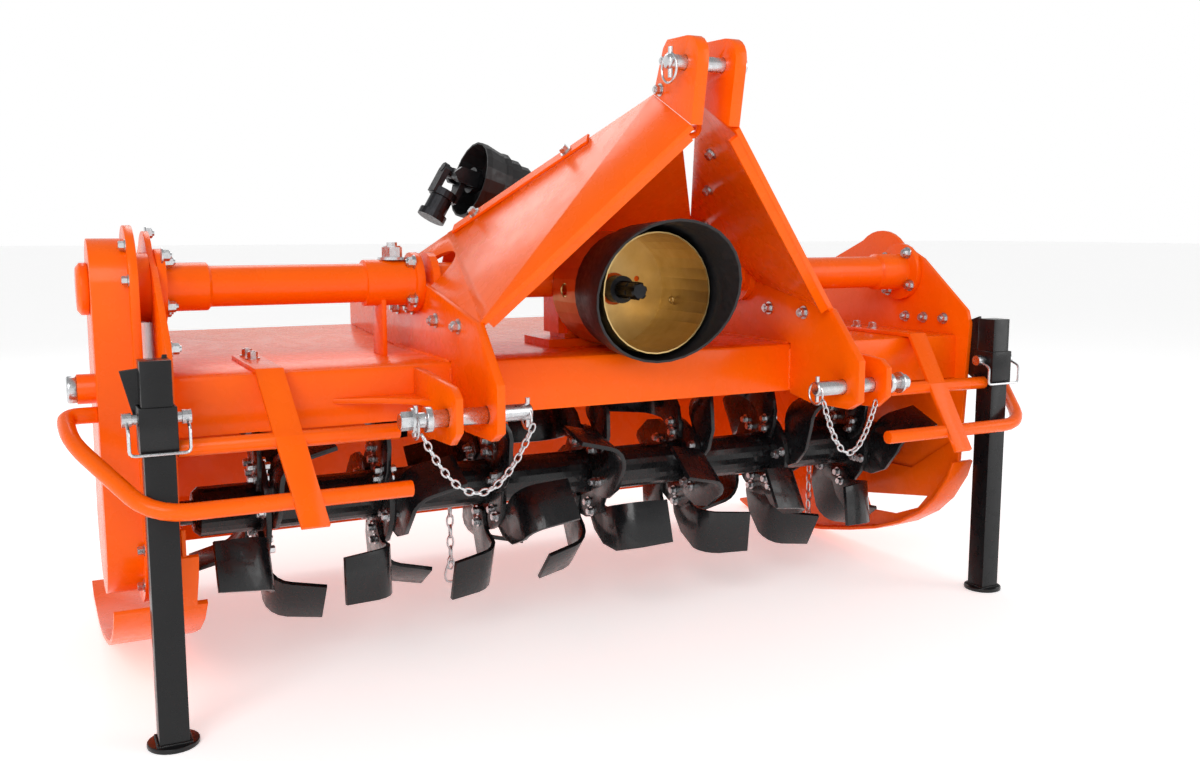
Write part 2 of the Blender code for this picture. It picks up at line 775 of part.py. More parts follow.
def make_stand(side, word):
    x = stand_x(side)
    half, inner = SLEEVE_SIDE / 2, LEG_SIDE / 2 + 0.0008
    sleeve = block((x - half, x + half), (STAND_Y - half, STAND_Y + half), (SLEEVE_LOW, SLEEVE_HIGH))
    plate_face = side * (RIGHT_PLATE[1] if side > 0 else -LEFT_PLATE[0])
    bracket_x = sorted((plate_face + side * FIT, plate_face + side * 0.008))
    rear = STAND_Y + half - 0.004
    bracket = prism(
        [(rear, SLEEVE_LOW + 0.004), (rear, SLEEVE_HIGH + 0.075), (rear + 0.070, SLEEVE_HIGH + 0.050),
         (rear + 0.055, SLEEVE_LOW + 0.030)],
        "x", *bracket_x)
    wing = prism(
        [(plate_face + side * FIT, SLEEVE_HIGH + 0.060), (x + side * 0.048, SLEEVE_HIGH + 0.052),
         (x + side * 0.020, SLEEVE_LOW + 0.010), (plate_face + side * FIT, SLEEVE_LOW + 0.010)],
        "y", rear, rear + 0.007)
    hollow = block((x - inner, x + inner), (STAND_Y - inner, STAND_Y + inner), (0.3, 0.8))
    node(f"{word}_stand_sleeve", cut(joined(sleeve, bracket, wing), hollow), "black_paint")

    h = LEG_SIDE / 2
    post = block((x - h, x + h), (STAND_Y - h, STAND_Y + h), (FOOT_THICK / 2, LEG_LENGTH))
    foot = turned([(0, FOOT_RADIUS - 0.001), (0.001, FOOT_RADIUS), (FOOT_THICK - 0.001, FOOT_RADIUS),
                   (FOOT_THICK, FOOT_RADIUS - 0.001)], (x, STAND_Y, 0), (0, 0, 1))
    node(f"{word}_stand_leg", joined(post, foot), "black_paint", (x, STAND_Y, 0))

    pin_z = SLEEVE_HIGH - PIN_DROP
    wire_y = STAND_Y - half - 0.006
    ends = []
    for end in (-1, 1):
        start = (x + end * (half + FIT), STAND_Y, pin_z)
        profile = [(0, 0.008), (0.008, 0.008), (0.0085, 0.011), (0.022, 0.011)]
        ends.append(turned(profile, start, (end, 0, 0), 16))
    reach = half + 0.016
    half_path = [(reach, STAND_Y, pin_z), (reach, wire_y, pin_z - 0.012), (reach, wire_y, pin_z - 0.050)]
    path = [(x - a, y, z) for a, y, z in half_path] + [(x + a, y, z) for a, y, z in reversed(half_path)]
    wire = tube(rounded(path, 0.008, 3), WIRE_RADIUS, 8)
    node(f"{word}_stand_pin", joined(wire, *ends), "zinc_steel")


# Guards beside the hitch
def make_guard(side, word):
    stand = abs(stand_x(side))
    end_face = abs(CASE_OUTER) if side < 0 else RIGHT_PLATE[1]
    out = stand + 0.118
    tube_start = DECK_WIDTH / 2 - 0.3335
    lower = [
        (tube_start, -0.150, 0.388),
        (stand + 0.020, -0.150, 0.388),
        (out, 0.020, 0.478),
        (out + 0.004, 0.110, 0.505),
        (end_face + FIT, 0.110, 0.505),
    ]
    upper = [(tube_start, -0.083, 0.473), (stand - SLEEVE_SIDE / 2 - FIT, -0.083, 0.473)]
    path = [(-0.188, 0.350), (-0.010, DECK_TOP + FIT), (0.215, DECK_TOP + FIT)]
    half = DECK_WIDTH / 2
    edges = [(half - 0.1885, half - 0.1445), (half - 0.1615, half - 0.1155), (half - 0.1615, half - 0.1155)]
    rows = []
    for (y, z), (oy, oz), (a, b) in zip(path, offset_path(path, 0.008), edges):
        rows.append([(side * a, y, z), (side * b, y, z), (side * b, oy, oz), (side * a, oy, oz)])
    strap = loft(rows)
    pieces = [tube(rounded(mirrored(lower, side), 0.055, 5), GUARD_RADIUS),
              tube(mirrored(upper, side), GUARD_RADIUS)]
    node(f"{word}_guard", joined(strap, *pieces), "orange_paint")


# Rotor
BLADE_THICK = 0.008
BLADE_ROOT_HALF = 0.023
BLADE_SPREAD = 0.023  # how much wider each half gets towards the tip
BLADE_TIP_TAPER = 0.94
ARM_IN = 0.055
ARM_SWEEP = 0.50  # in radians, from root to tip
ARM_STEPS = 4
WING_BEND = 0.045
WING_ANGLE = math.radians(76)
WING_STEPS = 4
WING_LENGTH = 0.064


def blade(turn, lean):
    """One blade: a curved arm on the flange's face whose tip sweeps sideways into a broad wing."""
    arm_out = BLADE_RADIUS - WING_BEND * math.sin(WING_ANGLE) - WING_LENGTH * math.cos(WING_ANGLE) - 0.002
    sections = []
    for i in range(ARM_STEPS + 1):
        s = i / ARM_STEPS
        radius = ARM_IN + (arm_out - ARM_IN) * s
        angle = turn - ARM_SWEEP * s**2
        out = Vector((0, math.cos(angle), math.sin(angle)))
        back = Vector((0, math.sin(angle), -math.cos(angle)))
        travel = (out * (arm_out - ARM_IN) + back * radius * 2 * ARM_SWEEP * s).normalized()
        width = Vector((0, -travel.z, travel.y))
        half = BLADE_ROOT_HALF + BLADE_SPREAD * s
        centre = out * radius + Vector((lean * (FLANGE_THICK + BLADE_THICK - 0.001) / 2, 0, 0))
        sections.append((centre, width * half, Vector((lean, 0, 0))))
    root, width, side = sections[-1]
    for i in range(1, WING_STEPS + 1):
        angle = WING_ANGLE * i / WING_STEPS
        place = root + travel * WING_BEND * math.sin(angle) + side * WING_BEND * (1 - math.cos(angle))
        facing = side * math.cos(angle) - travel * math.sin(angle)
        sections.append((place, width, facing))
    place, width, facing = sections[-1]
    outwards = side * math.sin(WING_ANGLE) + travel * math.cos(WING_ANGLE)
    sections.append((place + outwards * WING_LENGTH, width * BLADE_TIP_TAPER, facing))
    rings = []
    for place, half, facing in sections:
        out = facing * BLADE_THICK / 2
        rings.append([place + half + out, place - half + out, place - half - out, place + half - out])
    return loft(rings)


def make_rotor():
    ends = (DECK_LEFT + 0.045, DECK_RIGHT - 0.045)
    left_end = CASE_INNER + 0.002
    right_end = RIGHT_PLATE[1] + FIT + 0.020
    profile = [
        (0, ROTOR_STUB_RADIUS),
        (ends[0] - left_end, ROTOR_STUB_RADIUS),
        (ends[0] - left_end + 0.0005, 0.036),
        (ends[0] - left_end + 0.010, ROTOR_TUBE_RADIUS),
        (ends[1] - left_end - 0.010, ROTOR_TUBE_RADIUS),
        (ends[1] - left_end - 0.0005, 0.036),
        (ends[1] - left_end, ROTOR_STUB_RADIUS),
        (right_end - left_end, ROTOR_STUB_RADIUS),
    ]
    shaft = turned(profile, (left_end, *ROTOR_AXIS), (1, 0, 0))
    node("rotor_shaft", shaft, "blade_paint", (DECK_OFFSET, *ROTOR_AXIS))
    ring = x_rod((0, 0), -FLANGE_THICK / 2, FLANGE_THICK / 2, FLANGE_RADIUS, 24)
    blades = []
    for i in range(BLADES_PER_SET):
        blades.append(blade(2 * math.pi * i / BLADES_PER_SET, 1 if i % 2 else -1))
    bore = x_rod((0, 0), -0.1, 0.1, ROTOR_TUBE_RADIUS + FIT, 32)
    first = cut(joined(ring, *blades), bore)
    for i in range(BLADE_SETS):
        copy = first.copy()
        place = DECK_OFFSET + (i - (BLADE_SETS - 1) / 2) * SET_SPACING
        bmesh.ops.rotate(copy, verts=copy.verts, matrix=Matrix.Rotation(math.radians(23 * i), 3, "X"))
        bmesh.ops.translate(copy, verts=copy.verts, vec=(place, *ROTOR_AXIS))
        node(f"blade_set_{i + 1}", copy, "blade_paint", (place, *ROTOR_AXIS))
    first.free()


# Tail board
def make_tail_board():
    inset = 0.020
    low, high = DECK_LEFT + inset, DECK_RIGHT - inset
    y, z = HINGE_AXIS
    path = [(y - 0.016, 0.095), (y + 0.024, 0.190), (y + 0.030, 0.330), (y + 0.010, z - 0.006)]
    sheet = strip(path, TAIL_SHEET, "x", low, high)
    room = []
    for share in KNUCKLE_PLACES:
        middle = DECK_OFFSET + share * DECK_WIDTH
        gap = KNUCKLE / 2 + 0.006
        room.append(block((middle - gap, middle + gap), (y - 0.03, y + 0.06), (z - 0.028, z + 0.03)))
    shift = KNUCKLE + 0.014
    body = cut(sheet, *room)
    shape = cut(joined(body, *knuckles(shift)), hinge_bore())
    node("tail_board", shape, "orange_paint", (DECK_OFFSET, *HINGE_AXIS))
    rod_ends = (DECK_OFFSET + KNUCKLE_PLACES[0] * DECK_WIDTH - KNUCKLE / 2 - 0.02,
                DECK_OFFSET + KNUCKLE_PLACES[-1] * DECK_WIDTH + shift + KNUCKLE / 2 + 0.02)
    node("tail_board_hinge_rod", x_rod(HINGE_AXIS, *rod_ends, HINGE_ROD_RADIUS, 20), "zinc_steel")


# Driveline
DRIVE_TUBE_BORE = 0.020
BELL_RADIUS = 0.082
RIBS = 3
RIB_SPACING = 0.028
YOKE_BAR_RADIUS = 0.016
YOKE_HUB_RADIUS = 0.028
EAR_INNER = 0.017  # from a fork's middle to the inner face of its ear
EAR_THICK = 0.0123
EAR_HALF = 0.0162


def make_driveline():
    along = (DRIVE_END - DRIVE_START).normalized()
    length = (DRIVE_END - DRIVE_START).length
    end = (length - FIT) / 2
    bell = [(0, BELL_RADIUS - 0.004), (0, BELL_RADIUS), (0.012, BELL_RADIUS), (0.050, 0.074)]
    ribs = []
    for i in range(RIBS):
        start = 0.052 + RIB_SPACING * i
        crest = 0.076 - 0.006 * i
        ribs += [(start + 0.002, crest), (start + 0.012, crest), (start + 0.014, crest - 0.007)]
    tail = [(0.150, 0.046), (0.165, DRIVE_TUBE_RADIUS), (end, DRIVE_TUBE_RADIUS)]
    inner = [(end, DRIVE_TUBE_BORE), (0.140, DRIVE_TUBE_BORE), (0.120, 0.044), (0.050, 0.070)]
    left = shell([*bell, *ribs, *tail, *inner], DRIVE_START, along, 20)
    node("driveline_left_shield", left, "black_rubber")
    right = shell([*bell, *ribs, *tail, *inner], DRIVE_END, -along, 20)
    node("driveline_right_shield", right, "black_rubber")


def fork(base, direction, side, other, reach):
    """Two ears that reach along a direction from a base."""
    ears = []
    for end in (-1, 1):
        low = base + side * end * EAR_INNER
        high = low + side * end * EAR_THICK
        ring = [(0, -EAR_HALF), (reach, -EAR_HALF), (reach + 0.014, 0), (reach, EAR_HALF), (0, EAR_HALF)]
        ears.append(loft([[low + direction * a + other * b for a, b in ring],
                          [high + direction * a + other * b for a, b in ring]]))
    return ears


def make_yoke(name, start, direction, droop):
    """A cross joint: the fork on the driveline's tube, and the outer fork hanging from it."""
    side = direction.cross(Vector((0, 0, 1))).normalized()
    other = direction.cross(side).normalized()
    bar_profile = [
        (0, DRIVE_TUBE_BORE - FIT),
        (0.020, DRIVE_TUBE_BORE - FIT),
        (0.021, YOKE_BAR_RADIUS),
        (0.130, YOKE_BAR_RADIUS),
        (0.131, YOKE_HUB_RADIUS),
        (0.146, YOKE_HUB_RADIUS),
    ]
    bar = turned(bar_profile, start - direction * 0.150, direction, 20)
    joint = start + direction * 0.036
    inner = fork(start - direction * 0.009, direction, side, other, 0.043)
    hang = (direction * math.cos(droop) - Vector((0, 0, 1)) * math.sin(droop)).normalized()
    out = hang.cross(side).normalized()
    cross = [rod(joint - side * 0.0315, joint + side * 0.0315, 0.010, 12),
             rod(joint - out * 0.0305, joint + out * 0.0305, 0.0103, 12)]
    outer = fork(joint + hang * 0.056, -hang, out, side, 0.054)
    collar_profile = [
        (0, 0.029),
        (0.016, 0.029),
        (0.017, 0.024),
        (0.050, 0.024),
        (0.051, 0.030),
        (0.066, 0.030),
    ]
    collar = turned(collar_profile, joint + hang * 0.042, hang, 20)
    node(name, joined(bar, *inner, *cross, *outer, collar), "black_steel")


def make_yokes():
    along = (DRIVE_END - DRIVE_START).normalized()
    make_yoke("driveline_left_yoke", DRIVE_START, -along, math.radians(62))
    make_yoke("driveline_right_yoke", DRIVE_END, along, math.radians(5))


def to_footprint_middle():
    """Moves every sub-part so that the origin is the middle of the footprint, on the floor."""
    bpy.context.view_layer.update()
    corners = [made.matrix_world @ Vector(c) for made in MADE.values() for c in made.bound_box]
    low = [min(c[i] for c in corners) for i in range(3)]
    high = [max(c[i] for c in corners) for i in range(3)]
    shift = Vector(((low[0] + high[0]) / 2, (low[1] + high[1]) / 2, low[2]))
    for made in MADE.values():
        made.location -= shift
    print("moved by", [round(-v, 6) for v in shift])


make_deck()
make_side_plate("left_side_plate", LEFT_PLATE)
make_side_plate("right_side_plate", RIGHT_PLATE)
left_band = (LEFT_PLATE[0] - SKID_OUT, LEFT_PLATE[0] - SKID_OUT + SKID_WIDTH)
make_skid("left_skid", DECK_LEFT, -1, left_band, (LEFT_PLATE[0] - 0.0927, LEFT_PLATE[0] + 0.0523))
make_skid("right_skid", DECK_RIGHT, 1, (RIGHT_PLATE[1] + SKID_OUT - SKID_WIDTH, RIGHT_PLATE[1] + SKID_OUT))
make_gear_case()
make_bearing_housing()
make_axle_tube("left_axle_tube", -1, DECK_LEFT)
make_axle_tube("right_axle_tube", 1, DECK_RIGHT)
make_gearbox()
make_input()
for hand, word in ((-1, "left"), (1, "right")):
    make_hitch_plate(f"{word}_hitch_plate", hand)
    make_hitch_ear(f"{word}_hitch_ear", hand)
    make_lower_pin(f"{word}_lower_pin", hand)
    make_arm(f"{word}_mast_arm", hand)
    make_mast_ear(f"{word}_mast_ear", hand)
    make_stand(hand, word)
    make_guard(hand, word)
make_top_pin()
make_back_plate()
make_rotor()
make_tail_board()
make_driveline()
make_yokes()
to_footprint_middle()
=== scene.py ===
# %% [markdown]
# # A rotary tiller, finished in Blender
# The tiller's solid parts come packed from its mechanical model. This lesson dresses them: it gives each part
# a real finish, softens the edges of its steel plates, and adds what a mechanic would see next: bolts, welds,
# chains, wire pins and the splined shaft. Lengths are in metres.

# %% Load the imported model
import json
import math

import bmesh
import bpy
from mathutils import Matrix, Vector


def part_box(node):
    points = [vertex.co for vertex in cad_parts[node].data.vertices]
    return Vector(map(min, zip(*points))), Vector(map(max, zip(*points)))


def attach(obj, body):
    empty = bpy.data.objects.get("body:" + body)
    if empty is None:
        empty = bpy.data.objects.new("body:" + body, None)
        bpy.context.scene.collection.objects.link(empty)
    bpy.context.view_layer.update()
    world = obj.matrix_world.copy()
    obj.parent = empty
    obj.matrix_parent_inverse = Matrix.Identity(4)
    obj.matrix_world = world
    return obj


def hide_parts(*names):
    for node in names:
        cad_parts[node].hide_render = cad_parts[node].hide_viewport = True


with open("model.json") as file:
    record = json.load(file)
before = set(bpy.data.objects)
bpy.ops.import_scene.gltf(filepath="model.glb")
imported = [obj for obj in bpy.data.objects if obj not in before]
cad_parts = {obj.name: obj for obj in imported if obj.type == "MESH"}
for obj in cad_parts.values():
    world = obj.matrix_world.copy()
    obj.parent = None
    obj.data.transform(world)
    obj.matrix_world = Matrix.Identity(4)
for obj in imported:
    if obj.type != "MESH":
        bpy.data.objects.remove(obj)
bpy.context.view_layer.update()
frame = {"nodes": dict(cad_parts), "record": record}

# %% [markdown]
# Everything is laid out from three planes that a fitter would measure from: the middle of the hitch, the
# front face of the deck, and the floor. Ready coordinates would work too, but they would say nothing about
# the machine. `spot` turns such a measure into a point of the scene, and `on_face` does so for a piece that
# sits on a face, whose x is already known from a part's box.

# %% Measuring planes
hitch = [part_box("left_hitch_plate"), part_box("right_hitch_plate")]
HITCH_MIDDLE = (hitch[0][0].x + hitch[1][1].x) / 2
DECK_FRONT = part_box("deck")[0].y


def spot(across, back, up):
    """A point from the hitch's middle, the deck's front face and the floor."""
    return Vector((HITCH_MIDDLE + across, DECK_FRONT + back, up))


def on_face(x, back, up):
    """A point on a face at x, from the deck's front face and the floor."""
    return Vector((x, DECK_FRONT + back, up))


print("hitch middle", round(HITCH_MIDDLE, 4), "deck front", round(DECK_FRONT, 4))

# %% [markdown]
# A material is a small network of nodes. It could be wired by hand in the shader editor, but a script can
# repeat it for every finish. `add` puts one node in a network, with its settings and its inputs, where an
# input is either a value or another node's output. Colours are written as screen colours, and `linear` turns
# them into the linear light that the renderer works in.


# %% Colour and node helpers
def linear(code):
    """A screen colour such as #FF6600, as linear light with full opacity."""
    parts = [int(code[i : i + 2], 16) / 255 for i in (1, 3, 5)]
    return (*[c / 12.92 if c <= 0.04045 else ((c + 0.055) / 1.055) ** 2.4 for c in parts], 1.0)


def add(tree, kind, inputs=None, **settings):
    """A node in a tree, with settings, and with inputs that are values or other nodes' outputs."""
    made = tree.nodes.new(kind)
    for name, value in settings.items():
        setattr(made, name, value)
    for name, value in (inputs or {}).items():
        if isinstance(value, bpy.types.NodeSocket):
            tree.links.new(value, made.inputs[name])
        else:
            made.inputs[name].default_value = value
    return made


def wavelength(millimetres):
    """The scale of a noise whose features are this far apart."""
    return 1000 / millimetres


print("middle grey in linear light", round(linear("#808080")[0], 3))

# %% [markdown]
# Every finish here is a Principled shader whose colour, roughness and bump come from noise in the object's
# own space. Painted images would need each part unwrapped and would show their seams. Noise in space needs
# neither, and stays put on its part. A mask blends two colours, a second noise moves the roughness, and a
# third makes the bump.

# %% A painted or plated finish
COLOUR_A, COLOUR_B, MIXED = 6, 7, 2  # the Mix node's colour sockets, by number: its kinds share their names
WEAR_SHARE = 0.4  # the size of a wear patch against a colour patch
NOISE_LOW, NOISE_HIGH = 0.3, 0.7  # nearly all of a noise lies between these
BUMP_STRENGTH = 0.6
COAT_ROUGHNESS = 0.06


def finish(name, colours, patch, roughness, grain, height, metallic=0.0, coat=0.0, ior=1.5, gloss=0.5):
    """A material of two colours in patches, a roughness range, and a grain, with all sizes in mm.

    The coat is a clear skin over the colour, and gloss is the strength of the shader's specular light.
    """
    made = bpy.data.materials.new(name)
    made.use_nodes = True
    tree = made.node_tree
    shader = tree.nodes["Principled BSDF"]
    place = add(tree, "ShaderNodeTexCoord").outputs["Object"]
    mask = add(tree, "ShaderNodeTexNoise", {"Vector": place, "Scale": wavelength(patch), "Detail": 3.0})
    blend = add(tree, "ShaderNodeMix", {"Factor": mask.outputs["Fac"]}, data_type="RGBA")
    blend.inputs[COLOUR_A].default_value = linear(colours[0])
    blend.inputs[COLOUR_B].default_value = linear(colours[1])
    tree.links.new(blend.outputs[MIXED], shader.inputs["Base Color"])
    wear_scale = wavelength(patch * WEAR_SHARE)
    wear = add(tree, "ShaderNodeTexNoise", {"Vector": place, "Scale": wear_scale, "Detail": 5.0})
    sheen = add(
        tree,
        "ShaderNodeMapRange",
        {
            "Value": wear.outputs["Fac"],
            "From Min": NOISE_LOW,
            "From Max": NOISE_HIGH,
            "To Min": roughness[0],
            "To Max": roughness[1],
        },
    )
    tree.links.new(sheen.outputs["Result"], shader.inputs["Roughness"])
    rough = add(tree, "ShaderNodeTexNoise", {"Vector": place, "Scale": wavelength(grain), "Detail": 2.0})
    bump = add(
        tree,
        "ShaderNodeBump",
        {"Height": rough.outputs["Fac"], "Distance": height / 1000, "Strength": BUMP_STRENGTH},
    )
    tree.links.new(bump.outputs["Normal"], shader.inputs["Normal"])
    shader.inputs["Metallic"].default_value = metallic
    shader.inputs["Coat Weight"].default_value = coat
    shader.inputs["Coat Roughness"].default_value = COAT_ROUGHNESS
    shader.inputs["IOR"].default_value = ior
    shader.inputs["Specular IOR Level"].default_value = gloss
    return made


# %% [markdown]
# The plates are steel, blasted and powder coated in a bright orange. Powder melts into a thick gloss skin
# with a slight orange peel of about 3 mm, here drawn at 5 mm so that it shows. The stands are powder coated
# in black. The blades are forged and then dipped in black paint, which leaves a cloudy, wavy skin.

# %% Painted steel
ORANGE = finish(
    "orange_powder_coat", ("#F55A00", "#FE6601"), 90, (0.22, 0.32), 5, 0.05, coat=0.08, ior=1.45, gloss=0.22
)
BLACK = finish("black_powder_coat", ("#0C0C0D", "#151517"), 60, (0.22, 0.36), 4, 0.08, coat=0.12, gloss=0.3)
DIPPED = ("#09090B", "#161719")
BLADE = finish("dipped_black_paint_on_forged_steel", DIPPED, 45, (0.18, 0.36), 14, 0.5, coat=0.2, gloss=0.35)
print("paints", ORANGE.name, BLACK.name, BLADE.name)

# %% [markdown]
# Bolts, pins and chains are plated with bright zinc, which looks like brushed silver with duller patches.
# The shaft guard is plated with yellow zinc, whose chromate film shifts between gold and bronze. The shaft
# and joints carry black oxide, which is dark but still metallic. Rubber is neither: dull, with fine pores.

# %% Plated steel and rubber
ZINC = finish("bright_zinc_plate", ("#B9BBBD", "#E3E4E6"), 9, (0.20, 0.38), 2, 0.03, metallic=1.0)
GOLD = finish("yellow_zinc_chromate", ("#BE9C5E", "#DCC08A"), 35, (0.30, 0.44), 3, 0.03, metallic=1.0)
OXIDE = finish("black_oxide_steel", ("#1B1B1D", "#333438"), 12, (0.28, 0.45), 3, 0.08, metallic=0.7)
RUBBER = finish("moulded_black_rubber", ("#0D0D0E", "#17171A"), 25, (0.38, 0.58), 3, 0.15)
print("metals", ZINC.name, GOLD.name, OXIDE.name, RUBBER.name)

# %% [markdown]
# The record says which finish each part takes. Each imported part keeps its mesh, and its material slot gets
# the finish made above.

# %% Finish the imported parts
FINISHES = {
    "orange_paint": ORANGE,
    "black_paint": BLACK,
    "blade_paint": BLADE,
    "zinc_steel": ZINC,
    "yellow_zinc": GOLD,
    "black_rubber": RUBBER,
    "black_steel": OXIDE,
}
SLOT_OF = {part["node"]: part["material_slot"] for part in frame["record"]["subparts"]}
BODY_OF = {node: body for body, nodes in frame["record"]["behaviour"]["bodies"].items() for node in nodes}
for node_name, node_object in frame["nodes"].items():
    for slot in node_object.material_slots:
        slot.material = FINISHES[SLOT_OF[node_name]]
print(len(frame["nodes"]), "parts finished")

# %% [markdown]
# Real plates are cut, deburred and coated, so no edge is a perfect corner: each catches a thin line of
# light. A shader can fake that line, but only in a render: a real bevel is in the mesh as well. A copy of
# each part has its loose triangles merged and its flat faces rebuilt, and then a narrow bevel runs along
# every sharp edge. The copy takes the part's place.

# %% Soften the edges of a part
MERGE_WITHIN = 0.00001  # corners closer than this are one corner
FLAT_WITHIN, SHARP_ABOVE = 0.6, 38  # degrees between two faces


def piece(name, mesh, body, slot, replaced=()):
    """A finished piece at the origin, with its body, its finish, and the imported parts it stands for."""
    made = bpy.data.objects.new(name, mesh)
    bpy.context.scene.collection.objects.link(made)
    mesh.materials.clear()
    mesh.materials.append(FINISHES[slot])
    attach(made, body)
    if replaced:
        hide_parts(*replaced)
    return made


def softened(node, width):
    """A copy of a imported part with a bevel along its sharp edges, in its place."""
    shape = bmesh.new()
    shape.from_mesh(frame["nodes"][node].data)
    bmesh.ops.remove_doubles(shape, verts=shape.verts, dist=MERGE_WITHIN)
    flat = math.radians(FLAT_WITHIN)
    bmesh.ops.dissolve_limit(
        shape, angle_limit=flat, verts=shape.verts, edges=shape.edges, delimit={"NORMAL"}
    )
    mesh = bpy.data.meshes.new(node + "_softened")
    shape.to_mesh(mesh)
    shape.free()
    raw = bpy.data.objects.new("raw", mesh)
    bpy.context.scene.collection.objects.link(raw)
    bevel = raw.modifiers.new("edge", "BEVEL")
    bevel.width = width
    bevel.segments = 2
    bevel.limit_method = "ANGLE"
    bevel.angle_limit = math.radians(SHARP_ABOVE)
    bevel.use_clamp_overlap = True
    return baked(raw, node + "_softened", BODY_OF[node], SLOT_OF[node], (node,), smooth=40)


def baked(raw, name, body, slot, replaced=(), smooth=35):
    """A raw object's evaluated shape as a plain mesh piece. The raw object goes."""
    bpy.context.view_layer.update()
    seen = raw.evaluated_get(bpy.context.evaluated_depsgraph_get())
    mesh = bpy.data.meshes.new_from_object(seen)
    bpy.data.objects.remove(raw, do_unlink=True)
    mesh.name = name
    mesh.shade_smooth()
    mesh.set_sharp_from_angle(angle=math.radians(smooth))
    return piece(name, mesh, body, slot, replaced)


# %% [markdown]
# Thick plates that were flame cut and ground get the wider edge, and smaller or turned parts a finer one.
# A part whose edges are already round, such as the tail board's hinge rod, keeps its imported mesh.

# %% Which parts get soft edges
SOFT_EDGES = {
    0.0018: [
        "deck",
        "gear_case",
        "mast_back_plate",
        "left_side_plate",
        "right_side_plate",
        "left_hitch_plate",
        "right_hitch_plate",
        "left_hitch_ear",
        "right_hitch_ear",
        "left_mast_arm",
        "right_mast_arm",
        "left_mast_ear",
        "right_mast_ear",
        "left_skid",
        "right_skid",
        "left_guard",
        "right_guard",
    ],
    0.0014: [
        "left_stand_leg",
        "right_stand_leg",
        "left_stand_sleeve",
        "right_stand_sleeve",
        "left_axle_tube",
        "right_axle_tube",
        "bearing_cap",
        "rotor_bearing_housing",
        "level_plug",
        "pto_rubber_guard",
        "left_lower_pin",
        "right_lower_pin",
        "top_link_pin",
        *[name for name in frame["nodes"] if name.startswith("blade_set_")],
    ],
}
for width, names in SOFT_EDGES.items():
    for name in names:
        made = softened(name, width)
        print(made.name, len(made.data.polygons), "faces")

# %% [markdown]
# Things that repeat, such as bolts, weld ripples and chain links, come from Geometry Nodes: a small tree puts
# one shape on many points. A loop that copies meshes could do that too, but a tree keeps the shape and its
# sizes in one place. `tree_with` starts a tree with named inputs, and `grown` runs it on a mesh of points or
# lines and keeps the result as a plain mesh.


# %% Start and run a node tree
def tree_with(name, sizes):
    """An empty geometry tree with its mesh input and named sizes. Returns the tree and its group input."""
    made = bpy.data.node_groups.new(name, "GeometryNodeTree")
    made.interface.new_socket(name="Geometry", in_out="INPUT", socket_type="NodeSocketGeometry")
    for size in sizes:
        made.interface.new_socket(name=size, in_out="INPUT", socket_type="NodeSocketFloat")
    made.interface.new_socket(name="Finish", in_out="INPUT", socket_type="NodeSocketMaterial")
    made.interface.new_socket(name="Geometry", in_out="OUTPUT", socket_type="NodeSocketGeometry")
    return made, made.nodes.new("NodeGroupInput").outputs


def close_tree(tree, given, geometry):
    """The tree's end: instances made real, then the finish, then the output."""
    real = add(tree, "GeometryNodeRealizeInstances", {"Geometry": geometry})
    finished = add(
        tree, "GeometryNodeSetMaterial", {"Geometry": real.outputs["Geometry"], "Material": given["Finish"]}
    )
    tree.links.new(finished.outputs["Geometry"], tree.nodes.new("NodeGroupOutput").inputs["Geometry"])


def grown(name, tree, mesh, sizes, body, slot, smooth=35):
    """A piece grown by a tree from a mesh of points or lines."""
    raw = bpy.data.objects.new("raw", mesh)
    bpy.context.scene.collection.objects.link(raw)
    grow = raw.modifiers.new("grow", "NODES")
    grow.node_group = tree
    for item in tree.interface.items_tree:
        if item.in_out == "INPUT" and item.name in sizes:
            grow[item.identifier] = sizes[item.name]
        if item.in_out == "INPUT" and item.name == "Finish":
            grow[item.identifier] = FINISHES[slot]
    made = baked(raw, name, body, slot, smooth=smooth)
    print(name, len(made.data.polygons), "faces")
    return made


# %% [markdown]
# A plated bolt shows three things: a round washer pressed on the plate, a six-sided head whose top corners
# are turned off, and often the thread's end past the nut. None of them needs more than a short cylinder, so
# the tree stacks four along Z and puts the stack on every point, turned so that Z follows the point's own
# direction. A hexagon's corner is 0.577 of its width across flats from its middle.


